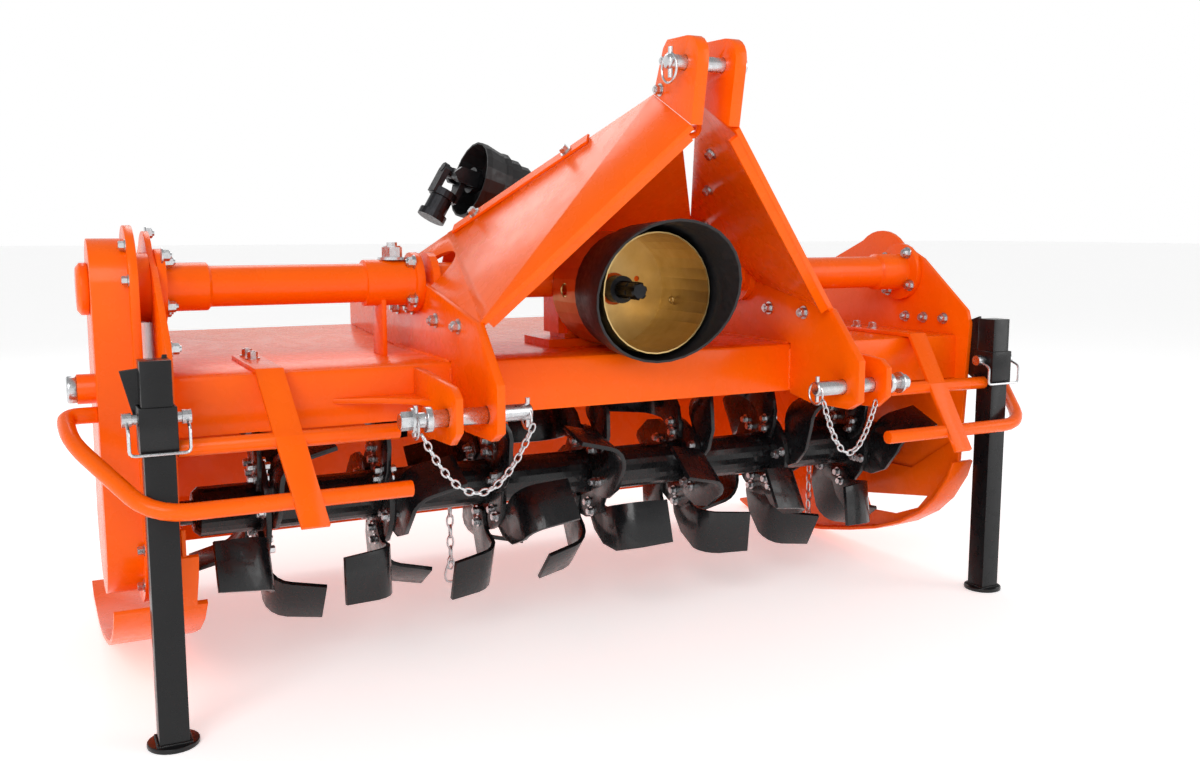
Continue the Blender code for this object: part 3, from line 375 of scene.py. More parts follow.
# %% Tree: bolts on points
def bolt_tree():
    sizes = ("Across Flats", "Head Height", "Washer Radius", "Thread Length")
    tree, given = tree_with("bolts_on_points", sizes)
    stack = add(tree, "GeometryNodeJoinGeometry")
    washer_thick = 0.0024
    # For each disc: its sides, the size and share that give its radius and its height, and where it starts.
    discs = (
        (20, "Washer Radius", 1.0, "Washer Radius", 0.18, 0.0),
        (6, "Across Flats", 0.577, "Head Height", 1.0, washer_thick),
        (18, "Across Flats", 0.485, "Head Height", 1.12, washer_thick),
        (10, "Across Flats", 0.30, "Thread Length", 1.0, washer_thick),
    )
    for sides, wide, wide_share, tall, tall_share, low in discs:
        radius = add(tree, "ShaderNodeMath", {0: given[wide], 1: wide_share}, operation="MULTIPLY").outputs[0]
        depth = add(tree, "ShaderNodeMath", {0: given[tall], 1: tall_share}, operation="MULTIPLY").outputs[0]
        disc = add(tree, "GeometryNodeMeshCylinder", {"Vertices": sides, "Radius": radius, "Depth": depth})
        middle = add(tree, "ShaderNodeMath", {0: depth, 1: 0.5, 2: low}, operation="MULTIPLY_ADD")
        lift = add(tree, "ShaderNodeCombineXYZ", {"Z": middle.outputs[0]})
        moved = add(
            tree,
            "GeometryNodeTransform",
            {"Geometry": disc.outputs["Mesh"], "Translation": lift.outputs[0]},
        )
        tree.links.new(moved.outputs["Geometry"], stack.inputs["Geometry"])
    facing = add(tree, "GeometryNodeInputNamedAttribute", {"Name": "facing"}, data_type="FLOAT_VECTOR")
    turn = add(
        tree, "FunctionNodeAlignRotationToVector", {"Vector": facing.outputs["Attribute"]}, axis="Z"
    )
    placed = add(
        tree,
        "GeometryNodeInstanceOnPoints",
        {
            "Points": given["Geometry"],
            "Instance": stack.outputs["Geometry"],
            "Rotation": turn.outputs["Rotation"],
        },
    )
    close_tree(tree, given, placed.outputs["Instances"])
    return tree


BOLTS = bolt_tree()
HEAD_SHARE, WASHER_SHARE = 0.62, 0.80  # of a bolt's width across flats
print("bolt tree", len(BOLTS.nodes), "nodes")


def points_mesh(places):
    """A mesh of loose points, each with the direction that it faces."""
    mesh = bpy.data.meshes.new("points")
    mesh.from_pydata([place for place, _ in places], [], [])
    facing = mesh.attributes.new("facing", "FLOAT_VECTOR", "POINT")
    for i, (_, direction) in enumerate(places):
        facing.data[i].vector = direction
    return mesh


def bolts(name, flats, places, body="frame", thread=0.0):
    """Plated bolts of a width across flats, on places with the directions that they face."""
    height = flats * HEAD_SHARE
    sizes = {
        "Across Flats": flats,
        "Head Height": height,
        "Washer Radius": flats * WASHER_SHARE,
        "Thread Length": max(thread, height),
    }
    return grown(name, BOLTS, points_mesh(places), sizes, body, "zinc_steel", smooth=30)


# %% [markdown]
# The side plates, the tube flanges and the hitch plates are all bolted. Where a bolt sits across the machine
# comes from the box of the part that it holds. How high and how far back it sits is typed in, and a box says
# nothing about a curved outline, so each place has to be checked against its plate: one of the left plate's
# bolts misses it. The flanges carry their bolts in a circle about the tube's axis, which `ring` spaces out.

# %% Bolts on the frame
RIGHT, LEFT, UP = Vector((1, 0, 0)), Vector((-1, 0, 0)), Vector((0, 0, 1))
TUBE_BACK, TUBE_UP = 0.183, 0.708
HITCH_BOLTS = ((0.310, 0.652), (0.215, 0.657), (0.075, 0.642), (-0.045, 0.640))
LEFT_PLATE_BOLTS = ((0.310, 0.800), (0.055, 0.765), (-0.012, 0.620), (0.098, 0.612), (0.300, 0.610))
RIGHT_PLATE_BOLTS = ((0.165, 0.603), (0.105, 0.604), (0.040, 0.606))
# A tube flange's bolts: how far their face is from the tube's end, their circle, and their angles.
OUTER_FLANGE = (0.014, 0.054, (35, 125, 215, 305))
INNER_FLANGE = (0.0145, 0.050, (40, 130, 220, 310))


def ring(x, back, up, radius, angles, facing):
    """Places on a circle about a line along X."""
    made = []
    for angle in angles:
        turn = math.radians(angle)
        made.append((on_face(x, back + radius * math.cos(turn), up + radius * math.sin(turn)), facing))
    return made


frame_bolts = []
tube_left, tube_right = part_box("left_axle_tube"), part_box("right_axle_tube")
for end, facing, (deep, radius, angles) in (
    (tube_left[0].x, RIGHT, OUTER_FLANGE),
    (tube_left[1].x, LEFT, INNER_FLANGE),
    (tube_right[1].x, LEFT, OUTER_FLANGE),
    (tube_right[0].x, RIGHT, INNER_FLANGE),
):
    frame_bolts += ring(end + facing.x * deep, TUBE_BACK, TUBE_UP, radius, angles, facing)
hitch_faces = [(box[end].x, facing) for end, facing in ((0, LEFT), (1, RIGHT)) for box in hitch]
for back, up in HITCH_BOLTS:
    frame_bolts += [(on_face(x, back, up), facing) for x, facing in hitch_faces]
bolts("frame_bolts", 0.017, frame_bolts, thread=0.015)

plate_in_left, plate_in_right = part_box("left_side_plate")[1].x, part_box("right_side_plate")[0].x
plate_bolts = [(on_face(plate_in_left, back, up), RIGHT) for back, up in LEFT_PLATE_BOLTS]
plate_bolts += [(on_face(plate_in_right, back, up), LEFT) for back, up in RIGHT_PLATE_BOLTS]
bolts("plate_bolts", 0.016, plate_bolts, thread=0.014)

# %% [markdown]
# The gear case is closed by small bolts round its flange, and the side plate carries two larger ones, in
# front of it and behind it. `ring` lays them all out, since the flange is round at both ends. On top of the
# left tube's collar sits a large breather, which is the same stack again, only bigger and pointing up.

# %% Bolts on the gear case, and the breather
CASE_TOP_RADIUS, CASE_BOTTOM_RADIUS = 0.084, 0.124
CASE_GAP, CASE_FLANGE, PRESSED_IN = 0.0235, 0.014, 0.0003  # plate to flange, flange, washer into flange
FLANGE_MIDDLE = 0.011  # from the case's wall to its bolt circle
ROTOR_BACK, ROTOR_UP = 0.200, 0.303
SIDE_BOLT_CIRCLE = 0.200
flange_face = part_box("gear_case")[1].x - CASE_GAP - CASE_FLANGE + PRESSED_IN
case_bolts = []
for radius, centre, angles in (
    (CASE_TOP_RADIUS + FLANGE_MIDDLE, (TUBE_BACK, TUBE_UP), (10, 50, 130, 170)),
    (CASE_BOTTOM_RADIUS + FLANGE_MIDDLE, (ROTOR_BACK, ROTOR_UP), (190, 225, 315, 350)),
):
    case_bolts += ring(flange_face, *centre, radius, angles, LEFT)
bolts("gear_case_bolts", 0.013, case_bolts)
plate_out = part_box("left_side_plate")[0].x
side_bolts = ring(plate_out, ROTOR_BACK, ROTOR_UP, SIDE_BOLT_CIRCLE, (150, 30), LEFT)
bolts("gear_case_side_bolts", 0.016, side_bolts)
BREATHER_ACROSS, COLLAR_TOP = -0.425, 0.0425
breather = spot(BREATHER_ACROSS, TUBE_BACK, TUBE_UP + COLLAR_TOP)
bolts("breather", 0.034, [(breather, UP)], thread=0.030)

# %% [markdown]
# The mast's ears are bolted through its arms, and two bolts hold each guard's strap on the deck. They are the
# same bolts once more, on the ears' outer faces and on the straps' tops.

# %% Bolts on the mast and the straps
DECK_UP = 0.573
STRAP_THICK, STRAP_ACROSS, STRAP_BACKS = 0.0083, 0.695, (0.135, 0.190)
ear_faces = ((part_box("left_mast_ear")[0].x, LEFT), (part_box("right_mast_ear")[1].x, RIGHT))
mast_bolts = []
for back, up in ((-0.190, 1.090), (-0.168, 1.045)):
    mast_bolts += [(on_face(x, back, up), facing) for x, facing in ear_faces]
bolts("mast_bolts", 0.014, mast_bolts, thread=0.012)
strap_bolts = []
for side in (-1, 1):
    for back in STRAP_BACKS:
        strap_bolts.append((spot(side * STRAP_ACROSS, back, DECK_UP + STRAP_THICK), UP))
bolts("strap_bolts", 0.016, strap_bolts, thread=0.012)

# %% [markdown]
# Each blade is held to its flange by two bolts with their nuts on the far side. The blades sit on the two
# faces of the flange by turns, and the sets are turned against each other like a screw, so each bolt circle
# is turned by the same step. The bolts are one piece that rides on the rotor, and so they turn with it.

# %% Bolts on the blades
SET_TURN = 23  # degrees from one blade set to the next
BLADES = 6
BOLT_CIRCLES = ((0.066, 0), (0.088, -5))  # each bolt's distance from the axis, and its lead in degrees
BLADE_FACE, FLANGE_BACK = 0.0125, 0.005  # from the flange's middle plane
blade_bolts = []
sets = sorted(name for name in frame["nodes"] if name.startswith("blade_set_"))
for number, name in enumerate(sets):
    low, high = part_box(name)
    middle = (low.x + high.x) / 2
    for blade in range(BLADES):
        side = 1 if blade % 2 else -1
        for radius, lead in BOLT_CIRCLES:
            turn = math.radians(360 / BLADES * blade + SET_TURN * number + lead)
            back, up = ROTOR_BACK + radius * math.cos(turn), ROTOR_UP + radius * math.sin(turn)
            blade_bolts.append((on_face(middle + side * BLADE_FACE, back, up), RIGHT * side))
            blade_bolts.append((on_face(middle - side * FLANGE_BACK, back, up), LEFT * side))
bolts("blade_bolts", 0.013, blade_bolts, body="rotor")

# %% [markdown]
# Wire and round bar follow a line. A curve object with a round bevel would look the same, but it would need
# turning into a mesh afterwards. The tree turns the line into a curve, evens out its points, and sweeps a
# circle along it.


# %% Tree: bar along a line
def bar_tree():
    tree, given = tree_with("bar_along_a_line", ("Bar Radius", "Step"))
    curve = add(tree, "GeometryNodeMeshToCurve", {"Mesh": given["Geometry"]})
    even = add(
        tree,
        "GeometryNodeResampleCurve",
        {"Curve": curve.outputs["Curve"], "Length": given["Step"]},
        mode="LENGTH",
    )
    section = add(tree, "GeometryNodeCurvePrimitiveCircle", {"Resolution": 10, "Radius": given["Bar Radius"]})
    swept = add(
        tree,
        "GeometryNodeCurveToMesh",
        {"Curve": even.outputs["Curve"], "Profile Curve": section.outputs["Curve"], "Fill Caps": True},
    )
    close_tree(tree, given, swept.outputs["Mesh"])
    return tree


BARS = bar_tree()
print("bar tree", len(BARS.nodes), "nodes")


def line_mesh(paths, closed=False):
    """A mesh of lines from lists of points."""
    points, edges = [], []
    for path in paths:
        first = len(points)
        points += [tuple(point) for point in path]
        edges += [(first + i, first + i + 1) for i in range(len(path) - 1)]
        if closed:
            edges.append((first + len(path) - 1, first))
    mesh = bpy.data.meshes.new("lines")
    mesh.from_pydata(points, edges, [])
    return mesh


def bars(name, paths, radius, slot="zinc_steel", closed=False, step=0.004):
    """Round bars of a radius on the frame, one along each path, with a section at each step."""
    return grown(name, BARS, line_mesh(paths, closed), {"Bar Radius": radius, "Step": step}, "frame", slot)


LOOP_POINTS = 28


def loop(centre, radius):
    """Points of a ring that stands square to X."""
    made = []
    for i in range(LOOP_POINTS):
        turn = 2 * math.pi * i / LOOP_POINTS
        made.append(centre + Vector((0, radius * math.cos(turn), radius * math.sin(turn))))
    return made


# %% [markdown]
# The two lower pins and the top pin are kept in by lynch pins: a peg through the pin's end, with a sprung
# ring that snaps over it. Both are round wire, so the bar tree makes them from a short line and a circle. A
# small loop of bar between the mast's plates holds the top link when it is off. Nothing carries that loop
# here: it stands free, where a real one would be welded on.

# %% Lynch pins and the mast's loop
PIN_BACK, PIN_UP, PIN_NUT_ACROSS = -0.170, 0.503, 0.504
TOP_BACK, TOP_UP = -0.245, 1.081
RING_BEHIND, RING_BELOW = 0.004, 0.010  # from the pin's middle to the ring's
PEG_ABOVE, PEG_BELOW = 0.024, 0.026
rings, pegs = [], []
for across, back, up, radius in (
    (-0.498, PIN_BACK, PIN_UP, 0.021),
    (-0.303, PIN_BACK, PIN_UP, 0.021),
    (0.303, PIN_BACK, PIN_UP, 0.021),
    (-0.074, TOP_BACK, TOP_UP, 0.024),
):
    rings.append(loop(spot(across, back + RING_BEHIND, up - RING_BELOW), radius))
    pegs.append([spot(across, back, up + PEG_ABOVE), spot(across, back, up - PEG_BELOW)])
bars("lynch_pin_rings", rings, 0.0021, closed=True)
bars("lynch_pin_pegs", pegs, 0.0042, step=0.05)
LOOP_RADIUS, LOOP_FRONT, LOOP_ROOT, LOOP_UP = 0.0165, -0.190, -0.160, 0.984
HALF_STEPS = 12
path = [spot(LOOP_RADIUS, LOOP_ROOT, LOOP_UP)]
for i in range(HALF_STEPS + 1):
    turn = math.pi * i / HALF_STEPS
    path.append(spot(LOOP_RADIUS * math.cos(turn), LOOP_FRONT, LOOP_UP - LOOP_RADIUS * math.sin(turn)))
path.append(spot(-LOOP_RADIUS, LOOP_ROOT, LOOP_UP))
bars("mast_loop", [path], 0.0055, slot="orange_paint")
pin_nuts = [(spot(facing.x * PIN_NUT_ACROSS, PIN_BACK, PIN_UP), facing) for facing in (LEFT, RIGHT)]
bolts("lower_pin_nuts", 0.027, pin_nuts)

# %% [markdown]
# A chain is one welded link, copied along a sagging line, with every second link turned a quarter turn. It
# could be dropped in a simulation, but a chain between two points hangs very nearly in a parabola, so a line
# is enough. The tree steps along it by the chain's pitch, aims each link along it, and rolls the odd ones.


# %% Tree: chain along a line
def chain_tree():
    tree, given = tree_with("chain_along_a_line", ("Pitch", "Link Width", "Wire Radius"))
    curve = add(tree, "GeometryNodeMeshToCurve", {"Mesh": given["Geometry"]})
    steps = add(
        tree,
        "GeometryNodeResampleCurve",
        {"Curve": curve.outputs["Curve"], "Length": given["Pitch"]},
        mode="LENGTH",
    )
    ring_line = add(tree, "GeometryNodeCurvePrimitiveCircle", {"Resolution": 12, "Radius": 1.0})
    half_long = add(
        tree,
        "ShaderNodeMath",
        {0: given["Pitch"], 1: 0.5, 2: given["Wire Radius"]},
        operation="MULTIPLY_ADD",
    )
    half_wide = add(tree, "ShaderNodeMath", {0: given["Link Width"], 1: 0.5}, operation="MULTIPLY")
    size = add(tree, "ShaderNodeCombineXYZ", {"X": half_long.outputs[0], "Y": half_wide.outputs[0], "Z": 1.0})
    link_line = add(
        tree, "GeometryNodeTransform", {"Geometry": ring_line.outputs["Curve"], "Scale": size.outputs[0]}
    )
    wire = add(tree, "GeometryNodeCurvePrimitiveCircle", {"Resolution": 6, "Radius": given["Wire Radius"]})
    link = add(
        tree,
        "GeometryNodeCurveToMesh",
        {"Curve": link_line.outputs["Geometry"], "Profile Curve": wire.outputs["Curve"]},
    )
    aim = add(
        tree,
        "FunctionNodeAlignRotationToVector",
        {"Vector": add(tree, "GeometryNodeInputTangent").outputs["Tangent"]},
        axis="X",
    )
    number = add(tree, "GeometryNodeInputIndex").outputs["Index"]
    odd = add(tree, "ShaderNodeMath", {0: number, 1: 2.0}, operation="MODULO")
    roll = add(tree, "ShaderNodeMath", {0: odd.outputs[0], 1: math.pi / 2}, operation="MULTIPLY")
    quarter = add(tree, "ShaderNodeCombineXYZ", {"X": roll.outputs[0]})
    turn = add(tree, "FunctionNodeEulerToRotation", {"Euler": quarter.outputs[0]})
    rolled = add(
        tree,
        "FunctionNodeRotateRotation",
        {"Rotation": aim.outputs["Rotation"], "Rotate By": turn.outputs["Rotation"]},
        rotation_space="LOCAL",
    )
    placed = add(
        tree,
        "GeometryNodeInstanceOnPoints",
        {
            "Points": steps.outputs["Curve"],
            "Instance": link.outputs["Mesh"],
            "Rotation": rolled.outputs["Rotation"],
        },
    )
    close_tree(tree, given, placed.outputs["Instances"])
    return tree


CHAINS = chain_tree()
SAG_STEPS = 24
print("chain tree", len(CHAINS.nodes), "nodes")


def sag(start, end, low):
    """A hanging line between two points whose lowest height is given."""
    made = []
    depth = (start.z + end.z) / 2 - low
    for i in range(SAG_STEPS + 1):
        t = i / SAG_STEPS
        point = start.lerp(end, t)
        point.z -= depth * 4 * t * (1 - t)
        made.append(point)
    return made


def chain(name, path, pitch, width, wire):
    """A chain along a path: the links' pitch and outer width, and their wire's radius."""
    sizes = {"Pitch": pitch, "Link Width": width, "Wire Radius": wire}
    return grown(name, CHAINS, line_mesh([path]), sizes, "frame", "zinc_steel", smooth=60)


# %% [markdown]
# A keeper chain with links about 20 mm long hangs under each lower pin, from its lynch pin to the far end,
# so that the lynch pin can't be lost. Two heavier chains with pear-shaped end links hang behind the rotor:
# on such a machine, chains like these hold the tail board up when it is raised. They hang free, so their
# line is straight down. A pear is a circle that narrows towards its top.

# %% The chains
KEEPER = {"pitch": 0.0135, "width": 0.0105, "wire": 0.0019}
HEAVY = {"pitch": 0.024, "width": 0.014, "wire": 0.0026}
left_line = sag(spot(-0.492, -0.192, 0.476), spot(-0.305, -0.192, 0.478), 0.378)
chain("left_keeper_chain", left_line, **KEEPER)
right_line = sag(spot(0.303, -0.192, 0.476), spot(0.428, -0.192, 0.468), 0.376)
chain("right_keeper_chain", right_line, **KEEPER)
HANG_BACK, HANG_TOP, HANG_END, HANG_STEPS = 0.455, 0.572, 0.062, 20
PEAR_POINTS, PEAR_WIDE, PEAR_TALL, PEAR_TAPER, PEAR_DROP = 30, 0.013, 0.024, 0.45, 0.020
pears = []
for word, across in (("left", -0.225), ("right", 0.772)):
    top, low = spot(across, HANG_BACK, HANG_TOP), spot(across, HANG_BACK, HANG_END)
    chain(f"{word}_hanging_chain", [top.lerp(low, i / HANG_STEPS) for i in range(HANG_STEPS + 1)], **HEAVY)
    pear = []
    for i in range(PEAR_POINTS):
        turn = 2 * math.pi * i / PEAR_POINTS
        wide = PEAR_WIDE * math.sin(turn) * (1 - PEAR_TAPER * math.cos(turn))
        pear.append(low + Vector((wide, 0, -PEAR_DROP + PEAR_TALL * math.cos(turn))))
    pears.append(pear)
bars("pear_links", pears, 0.0030, closed=True)

# %% [markdown]
# The input shaft has six splines, so that a driveline's yoke can slide on it and still turn it. Six slots
# could be cut from a cylinder with booleans, but those often leave ragged faces. Here its outline, a circle
# with six slots, is carried along the shaft, with a groove near the end for the yoke's lock.

# %% The splined input shaft
shaft_low, shaft_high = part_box("input_shaft")
SHAFT_UP = (shaft_low.z + shaft_high.z) / 2
COLLAR = (shaft_high.x - shaft_low.x) / 2
CREST, ROOT, GROOVE = 0.0175, 0.0146, 0.0150  # radii
SPLINES = 6
CREST_SHARES, ROOT_SHARES = (0.00, 0.17, 0.34, 0.50), (0.54, 0.77, 0.96)  # of one spline's turn


def shaft_outline(y, crest, root):
    """A ring of points about the shaft's axis, with six splines where crest and root differ."""
    made = []
    for tooth in range(SPLINES):
        for share in (*CREST_SHARES, *ROOT_SHARES):
            radius = crest if share in CREST_SHARES else root
            turn = 2 * math.pi * (tooth + share) / SPLINES
            x, z = HITCH_MIDDLE + radius * math.cos(turn), SHAFT_UP + radius * math.sin(turn)
            made.append(Vector((x, y, z)))
    return made


front = shaft_low.y
# The shaft from its tip: the distance along it, and the radius of its crests and of its roots.
profile = [
    (0.0, 0.0140, 0.0135),
    (0.003, CREST, ROOT),
    (0.024, CREST, ROOT),
    (0.0245, GROOVE, ROOT),
    (0.0315, GROOVE, ROOT),
    (0.032, CREST, ROOT),
    (0.066, CREST, ROOT),
    (0.070, CREST, CREST),
    (0.0705, COLLAR, COLLAR),
    (0.1000, COLLAR, COLLAR),
    (0.1005, CREST, CREST),
    (shaft_high.y - front, CREST, CREST),
]
shape = bmesh.new()
outlines = []
for along, crest, root in profile:
    outlines.append([shape.verts.new(point) for point in shaft_outline(front + along, crest, root)])
for one, other in zip(outlines, outlines[1:]):
    for i in range(len(one)):
        j = (i + 1) % len(one)
        shape.faces.new((one[i], one[j], other[j], other[i]))
shape.faces.new(outlines[0])
shape.faces.new(outlines[-1])
bmesh.ops.recalc_face_normals(shape, faces=shape.faces)
splined = bpy.data.meshes.new("splined_shaft")
shape.to_mesh(splined)
shape.free()
splined.shade_smooth()
splined.set_sharp_from_angle(angle=math.radians(30))
piece("splined_shaft", splined, BODY_OF["input_shaft"], "black_steel", ("input_shaft",))
print("splined shaft", len(splined.polygons), "faces")

# %% [markdown]
# Welds join the hitch plates and ears to the deck, and the feet to the stand legs. A weld is a row of small
# overlapping ripples, each left by one pulse of the arc. A smooth bar with a bumpy material would do from
# afar, but not up close. The tree lays a flat bead every few millimetres, and no two are quite the same size.


# %% Tree: weld ripples along a line
def weld_tree():
    tree, given = tree_with("weld_ripples", ("Ripple", "Bead Radius"))
    curve = add(tree, "GeometryNodeMeshToCurve", {"Mesh": given["Geometry"]})
    steps = add(
        tree,
        "GeometryNodeResampleCurve",
        {"Curve": curve.outputs["Curve"], "Length": given["Ripple"]},
        mode="LENGTH",
    )
    bead = add(tree, "GeometryNodeMeshUVSphere", {"Segments": 8, "Rings": 5, "Radius": given["Bead Radius"]})
    aim = add(
        tree,
        "FunctionNodeAlignRotationToVector",
        {"Vector": add(tree, "GeometryNodeInputTangent").outputs["Tangent"]},
        axis="X",
    )
    uneven = add(
        tree,
        "FunctionNodeRandomValue",
        {"Min": (0.75, 0.9, 0.9), "Max": (0.95, 1.15, 1.15), "Seed": 7},
        data_type="FLOAT_VECTOR",
    )
    placed = add(
        tree,
        "GeometryNodeInstanceOnPoints",
        {
            "Points": steps.outputs["Curve"],
            "Instance": bead.outputs["Mesh"],
            "Rotation": aim.outputs["Rotation"],
            "Scale": uneven.outputs[0],
        },
    )
    close_tree(tree, given, placed.outputs["Instances"])
    return tree


WELDS = weld_tree()
OVERLAP = 0.95  # the step from ripple to ripple, against a bead's radius
print("weld tree", len(WELDS.nodes), "nodes")


def weld(name, paths, slot, body="frame", bead=0.0038):
    """Weld beads of a radius along paths, painted like the steel they join."""
    sizes = {"Ripple": bead * OVERLAP, "Bead Radius": bead}
    return grown(name, WELDS, line_mesh(paths), sizes, body, slot, smooth=80)


# %% [markdown]
# Each hitch plate has a weld along both of its faces, on the deck and down the deck's front, and each ear has
# one on its inner face. A foot's weld runs round the square leg where it meets the disc. Each line takes its
# place across the machine from its plate's own box, so a bead stays on the plate when the plate is moved.

# %% Lay the welds
# Where each line of weld starts and ends: back along the deck, and up its front.
ON_DECK, DOWN_FRONT, BY_EAR = (0.012, 0.330), (0.480, 0.560), (0.458, 0.562)
FOOT_TOP, LEG_HALF = 0.0085, 0.0245
deck_welds = []
for low, high in hitch:
    for x in (low.x, high.x):
        deck_welds.append([on_face(x, back, DECK_UP) for back in ON_DECK])
        deck_welds.append([on_face(x, 0, up) for up in DOWN_FRONT])
for low, high in (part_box("left_hitch_ear"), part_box("right_hitch_ear")):
    inner = low.x if low.x > 0 else high.x
    deck_welds.append([on_face(inner, 0, up) for up in BY_EAR])
weld("deck_welds", deck_welds, "orange_paint")
for word in ("left", "right"):
    low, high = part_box(f"{word}_stand_leg")
    middle = (low + high) / 2
    foot = []
    for a, b in ((-1, -1), (1, -1), (1, 1), (-1, 1), (-1, -1)):
        foot.append(Vector((middle.x + a * LEG_HALF, middle.y + b * LEG_HALF, FOOT_TOP)))
    weld(f"{word}_foot_weld", [foot], "black_paint", body=f"{word}_stand", bead=0.0030)

# %% [markdown]
# On each mast arm a narrow flat bar is bolted along the rear edge of the outer face. It clamps the sheet
# between the arms. The arm leans both ways, so the bar is laid out on the arm's own directions: along it, out
# of its face, and towards the rear. More bolts come through on the arms' inner faces.

# %% Edge bars on the mast arms
BAR_WIDE, BAR_THICK, BAR_GAP = 0.026, 0.006, 0.0005
BAR_PROUD = 0.006  # how far the bar stands behind the arm's rear edge
BAR_START, BAR_SHARE = 0.020, 0.72  # from the arm's waist, in metres and as a share of its length
INNER_IN, INNER_FACE = 0.045, 0.0102  # the inner bolts: in from the edge, and down through the arm
bar_bolts, inner_bolts = [], []
for side, word in ((-1, "left"), (1, "right")):
    waist, crown = spot(side * 0.285, 0.262, 0.800), spot(side * 0.0483, -0.143, 1.040)
    base = spot(side * 0.370, -0.129, 0.652)
    along = (crown - waist).normalized()
    outward = along.cross(base - waist).normalized()
    if outward.x * side < 0:
        outward = -outward
    away = outward.cross(along).normalized()
    if away.y < 0:
        away = -away
    length = (crown - waist).length
    corners = []
    for point in (waist + along * BAR_START, waist + along * (length * BAR_SHARE)):
        for a in (BAR_PROUD - BAR_WIDE, BAR_PROUD):
            for b in (BAR_GAP, BAR_THICK):
                corners.append(point + away * a + outward * b)
    mesh = bpy.data.meshes.new("edge_bar")
    faces = [(0, 1, 3, 2), (4, 6, 7, 5), (0, 4, 5, 1), (2, 3, 7, 6), (0, 2, 6, 4), (1, 5, 7, 3)]
    mesh.from_pydata(corners, [], faces)
    shape = bmesh.new()
    shape.from_mesh(mesh)
    bmesh.ops.recalc_face_normals(shape, faces=shape.faces)
    bmesh.ops.bevel(shape, geom=shape.edges[:], offset=0.0015, segments=2, affect="EDGES")
    shape.to_mesh(mesh)
    shape.free()
    mesh.shade_smooth()
    mesh.set_sharp_from_angle(angle=math.radians(50))
    piece(f"{word}_edge_bar", mesh, "frame", "orange_paint")
    for share in (0.16, 0.62):
        edge = waist + along * length * share
        bar_bolts.append((edge + away * (BAR_PROUD - BAR_WIDE / 2) + outward * BAR_THICK, outward))
    for share in (0.22, 0.50, 0.76):
        edge = waist + along * length * share
        inner_bolts.append((edge - away * INNER_IN - outward * INNER_FACE, -outward))
bolts("edge_bar_bolts", 0.015, bar_bolts)
bolts("arm_inner_bolts", 0.015, inner_bolts)

# %% [markdown]
# Inside the yellow guard a small eyelet is riveted, for the chain that keeps the driveline's guard from
# turning. It is one ring of wire, so the bar tree makes it from a circle. It stands about 2 mm off the wall
# here, with no rivet.

# %% Eyelet in the guard
GUARD_WALL, EYE_IN, EYE_BACK, EYE_TURN = 0.0025, 0.006, 0.045, -12  # the last in degrees
guard_low, guard_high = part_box("pto_shield")
reach = (guard_high.x - guard_low.x) / 2 - GUARD_WALL - EYE_IN
turn = math.radians(EYE_TURN)
eye = on_face(HITCH_MIDDLE + reach * math.cos(turn), EYE_BACK, SHAFT_UP + reach * math.sin(turn))
bars("guard_eyelet", [loop(eye, 0.007)], 0.0016, closed=True, slot="yellow_zinc", step=0.003)

# %% [markdown]
# The machine stands on a plain pale floor under large soft lamps, as in a studio. Small lamps would throw
# hard shadows and leave the black parts black. A big key light comes from the front left, a weaker one fills
# from the right, and a third from above and behind draws the upper edges.
# The sky is white round the horizon and dimmer overhead, so that glossy paint keeps its colour on its top
# faces. The floor is white paper on a light table, which keeps it pale under that sky.


# %% Floor and light
def soft_lamp(name, place, towards, size, watts):
    """A square lamp of a size and power, which faces a point."""
    lamp = bpy.data.lights.new(name, "AREA")
    lamp.size = size
    lamp.energy = watts
    made = bpy.data.objects.new(name, lamp)
    made.location = place
    made.rotation_euler = (Vector(towards) - Vector(place)).to_track_quat("-Z", "Y").to_euler()
    bpy.context.scene.collection.objects.link(made)


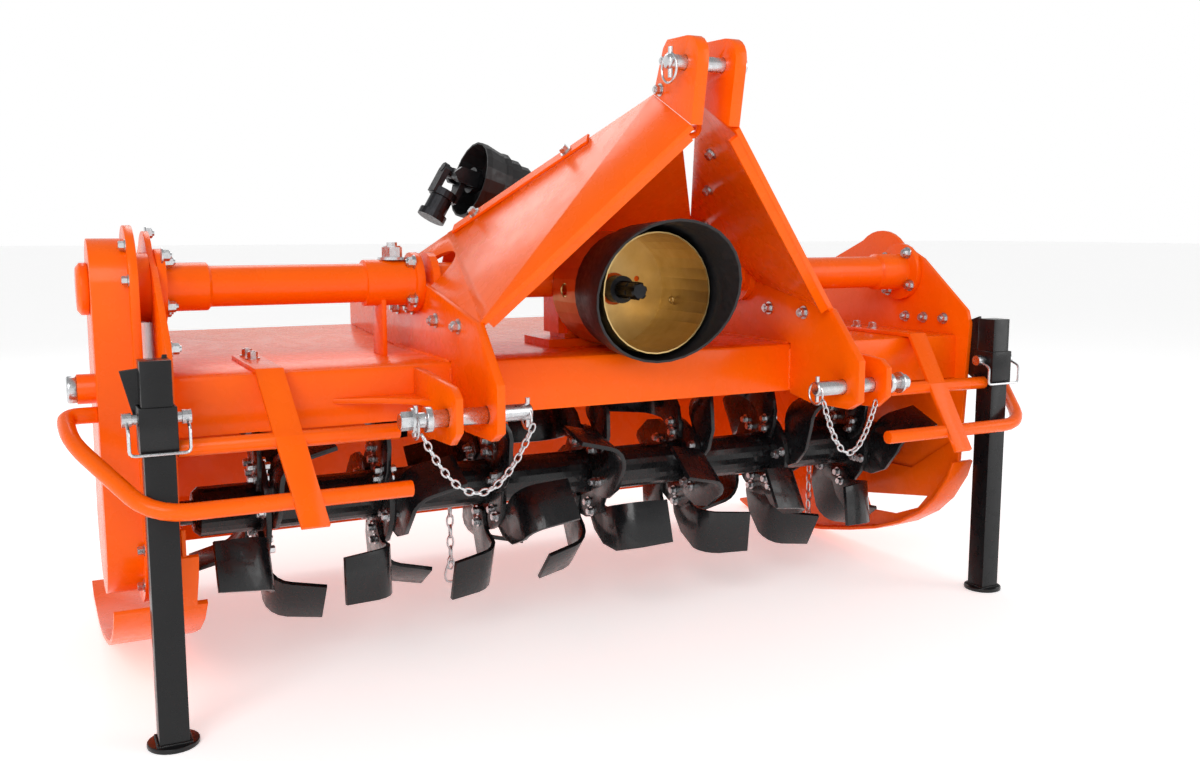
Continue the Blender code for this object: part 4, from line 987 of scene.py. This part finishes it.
FLOOR_REACH = 60.0
WHITE = (1.0, 1.0, 1.0, 1.0)
PAPER_GLOW = 0.42
SKY_LOW, SKY_HIGH = 0.24, 0.55  # the sky dims between these heights, as shares of straight up
SKY_FULL, SKY_DIM = 1.0, 0.42
floor_corners = [(a * FLOOR_REACH, b * FLOOR_REACH, 0) for a, b in ((-1, -1), (1, -1), (1, 1), (-1, 1))]
floor_mesh = bpy.data.meshes.new("studio_floor")
floor_mesh.from_pydata(floor_corners, [], [(0, 1, 2, 3)])
studio_floor = bpy.data.objects.new("studio_floor", floor_mesh)
bpy.context.scene.collection.objects.link(studio_floor)
FLOOR_PAPER = finish("backlit_white_paper", ("#FAFAFA", "#FFFFFF"), 900, (0.8, 0.9), 40, 0.1)
paper = FLOOR_PAPER.node_tree.nodes["Principled BSDF"]
paper.inputs["Emission Color"].default_value = WHITE
paper.inputs["Emission Strength"].default_value = PAPER_GLOW
floor_mesh.materials.append(FLOOR_PAPER)

soft_lamp("key_lamp", (-3.2, -3.6, 3.4), (0, 0, 0.5), 2.6, 100)
soft_lamp("fill_lamp", (3.6, -3.0, 2.2), (0, 0, 0.5), 2.4, 36)
soft_lamp("rim_lamp", (0.5, 3.4, 3.6), (0, 0, 0.6), 2.6, 50)
world = bpy.data.worlds.new("studio")
bpy.context.scene.world = world
world.use_nodes = True
sky = world.node_tree
background = sky.nodes["Background"]
background.inputs["Color"].default_value = WHITE
direction = add(sky, "ShaderNodeTexCoord").outputs["Generated"]
height = add(sky, "ShaderNodeSeparateXYZ", {"Vector": direction}).outputs["Z"]
dimmed = add(
    sky,
    "ShaderNodeMapRange",
    {"Value": height, "From Min": SKY_LOW, "From Max": SKY_HIGH, "To Min": SKY_FULL, "To Max": SKY_DIM},
)
sky.links.new(dimmed.outputs["Result"], background.inputs["Strength"])
bpy.context.scene.view_settings.view_transform = "Standard"

# %% [markdown]
# The camera stands at the left front corner, a little above the mast's foot, and looks slightly down. It
# could be aimed at the machine with a constraint, but its two angles say the same and stay put.

# %% Camera
CAMERA_PLACE = spot(-1.0464, -1.8967, 0.8067)
CAMERA_TURN = 27.0117  # degrees to the right of straight ahead
CAMERA_DIP = 7.6157  # degrees down
FOCAL_LENGTH, FILM_WIDE = 33.88, 36  # millimetres
lens = bpy.data.cameras.new("camera")
lens.lens = FOCAL_LENGTH
lens.sensor_width = FILM_WIDE
camera = bpy.data.objects.new("camera", lens)
camera.location = CAMERA_PLACE
camera.rotation_euler = (math.radians(90 - CAMERA_DIP), 0, math.radians(-CAMERA_TURN))
bpy.context.scene.collection.objects.link(camera)
bpy.context.scene.camera = camera
print("camera at", [round(v, 3) for v in camera.location])
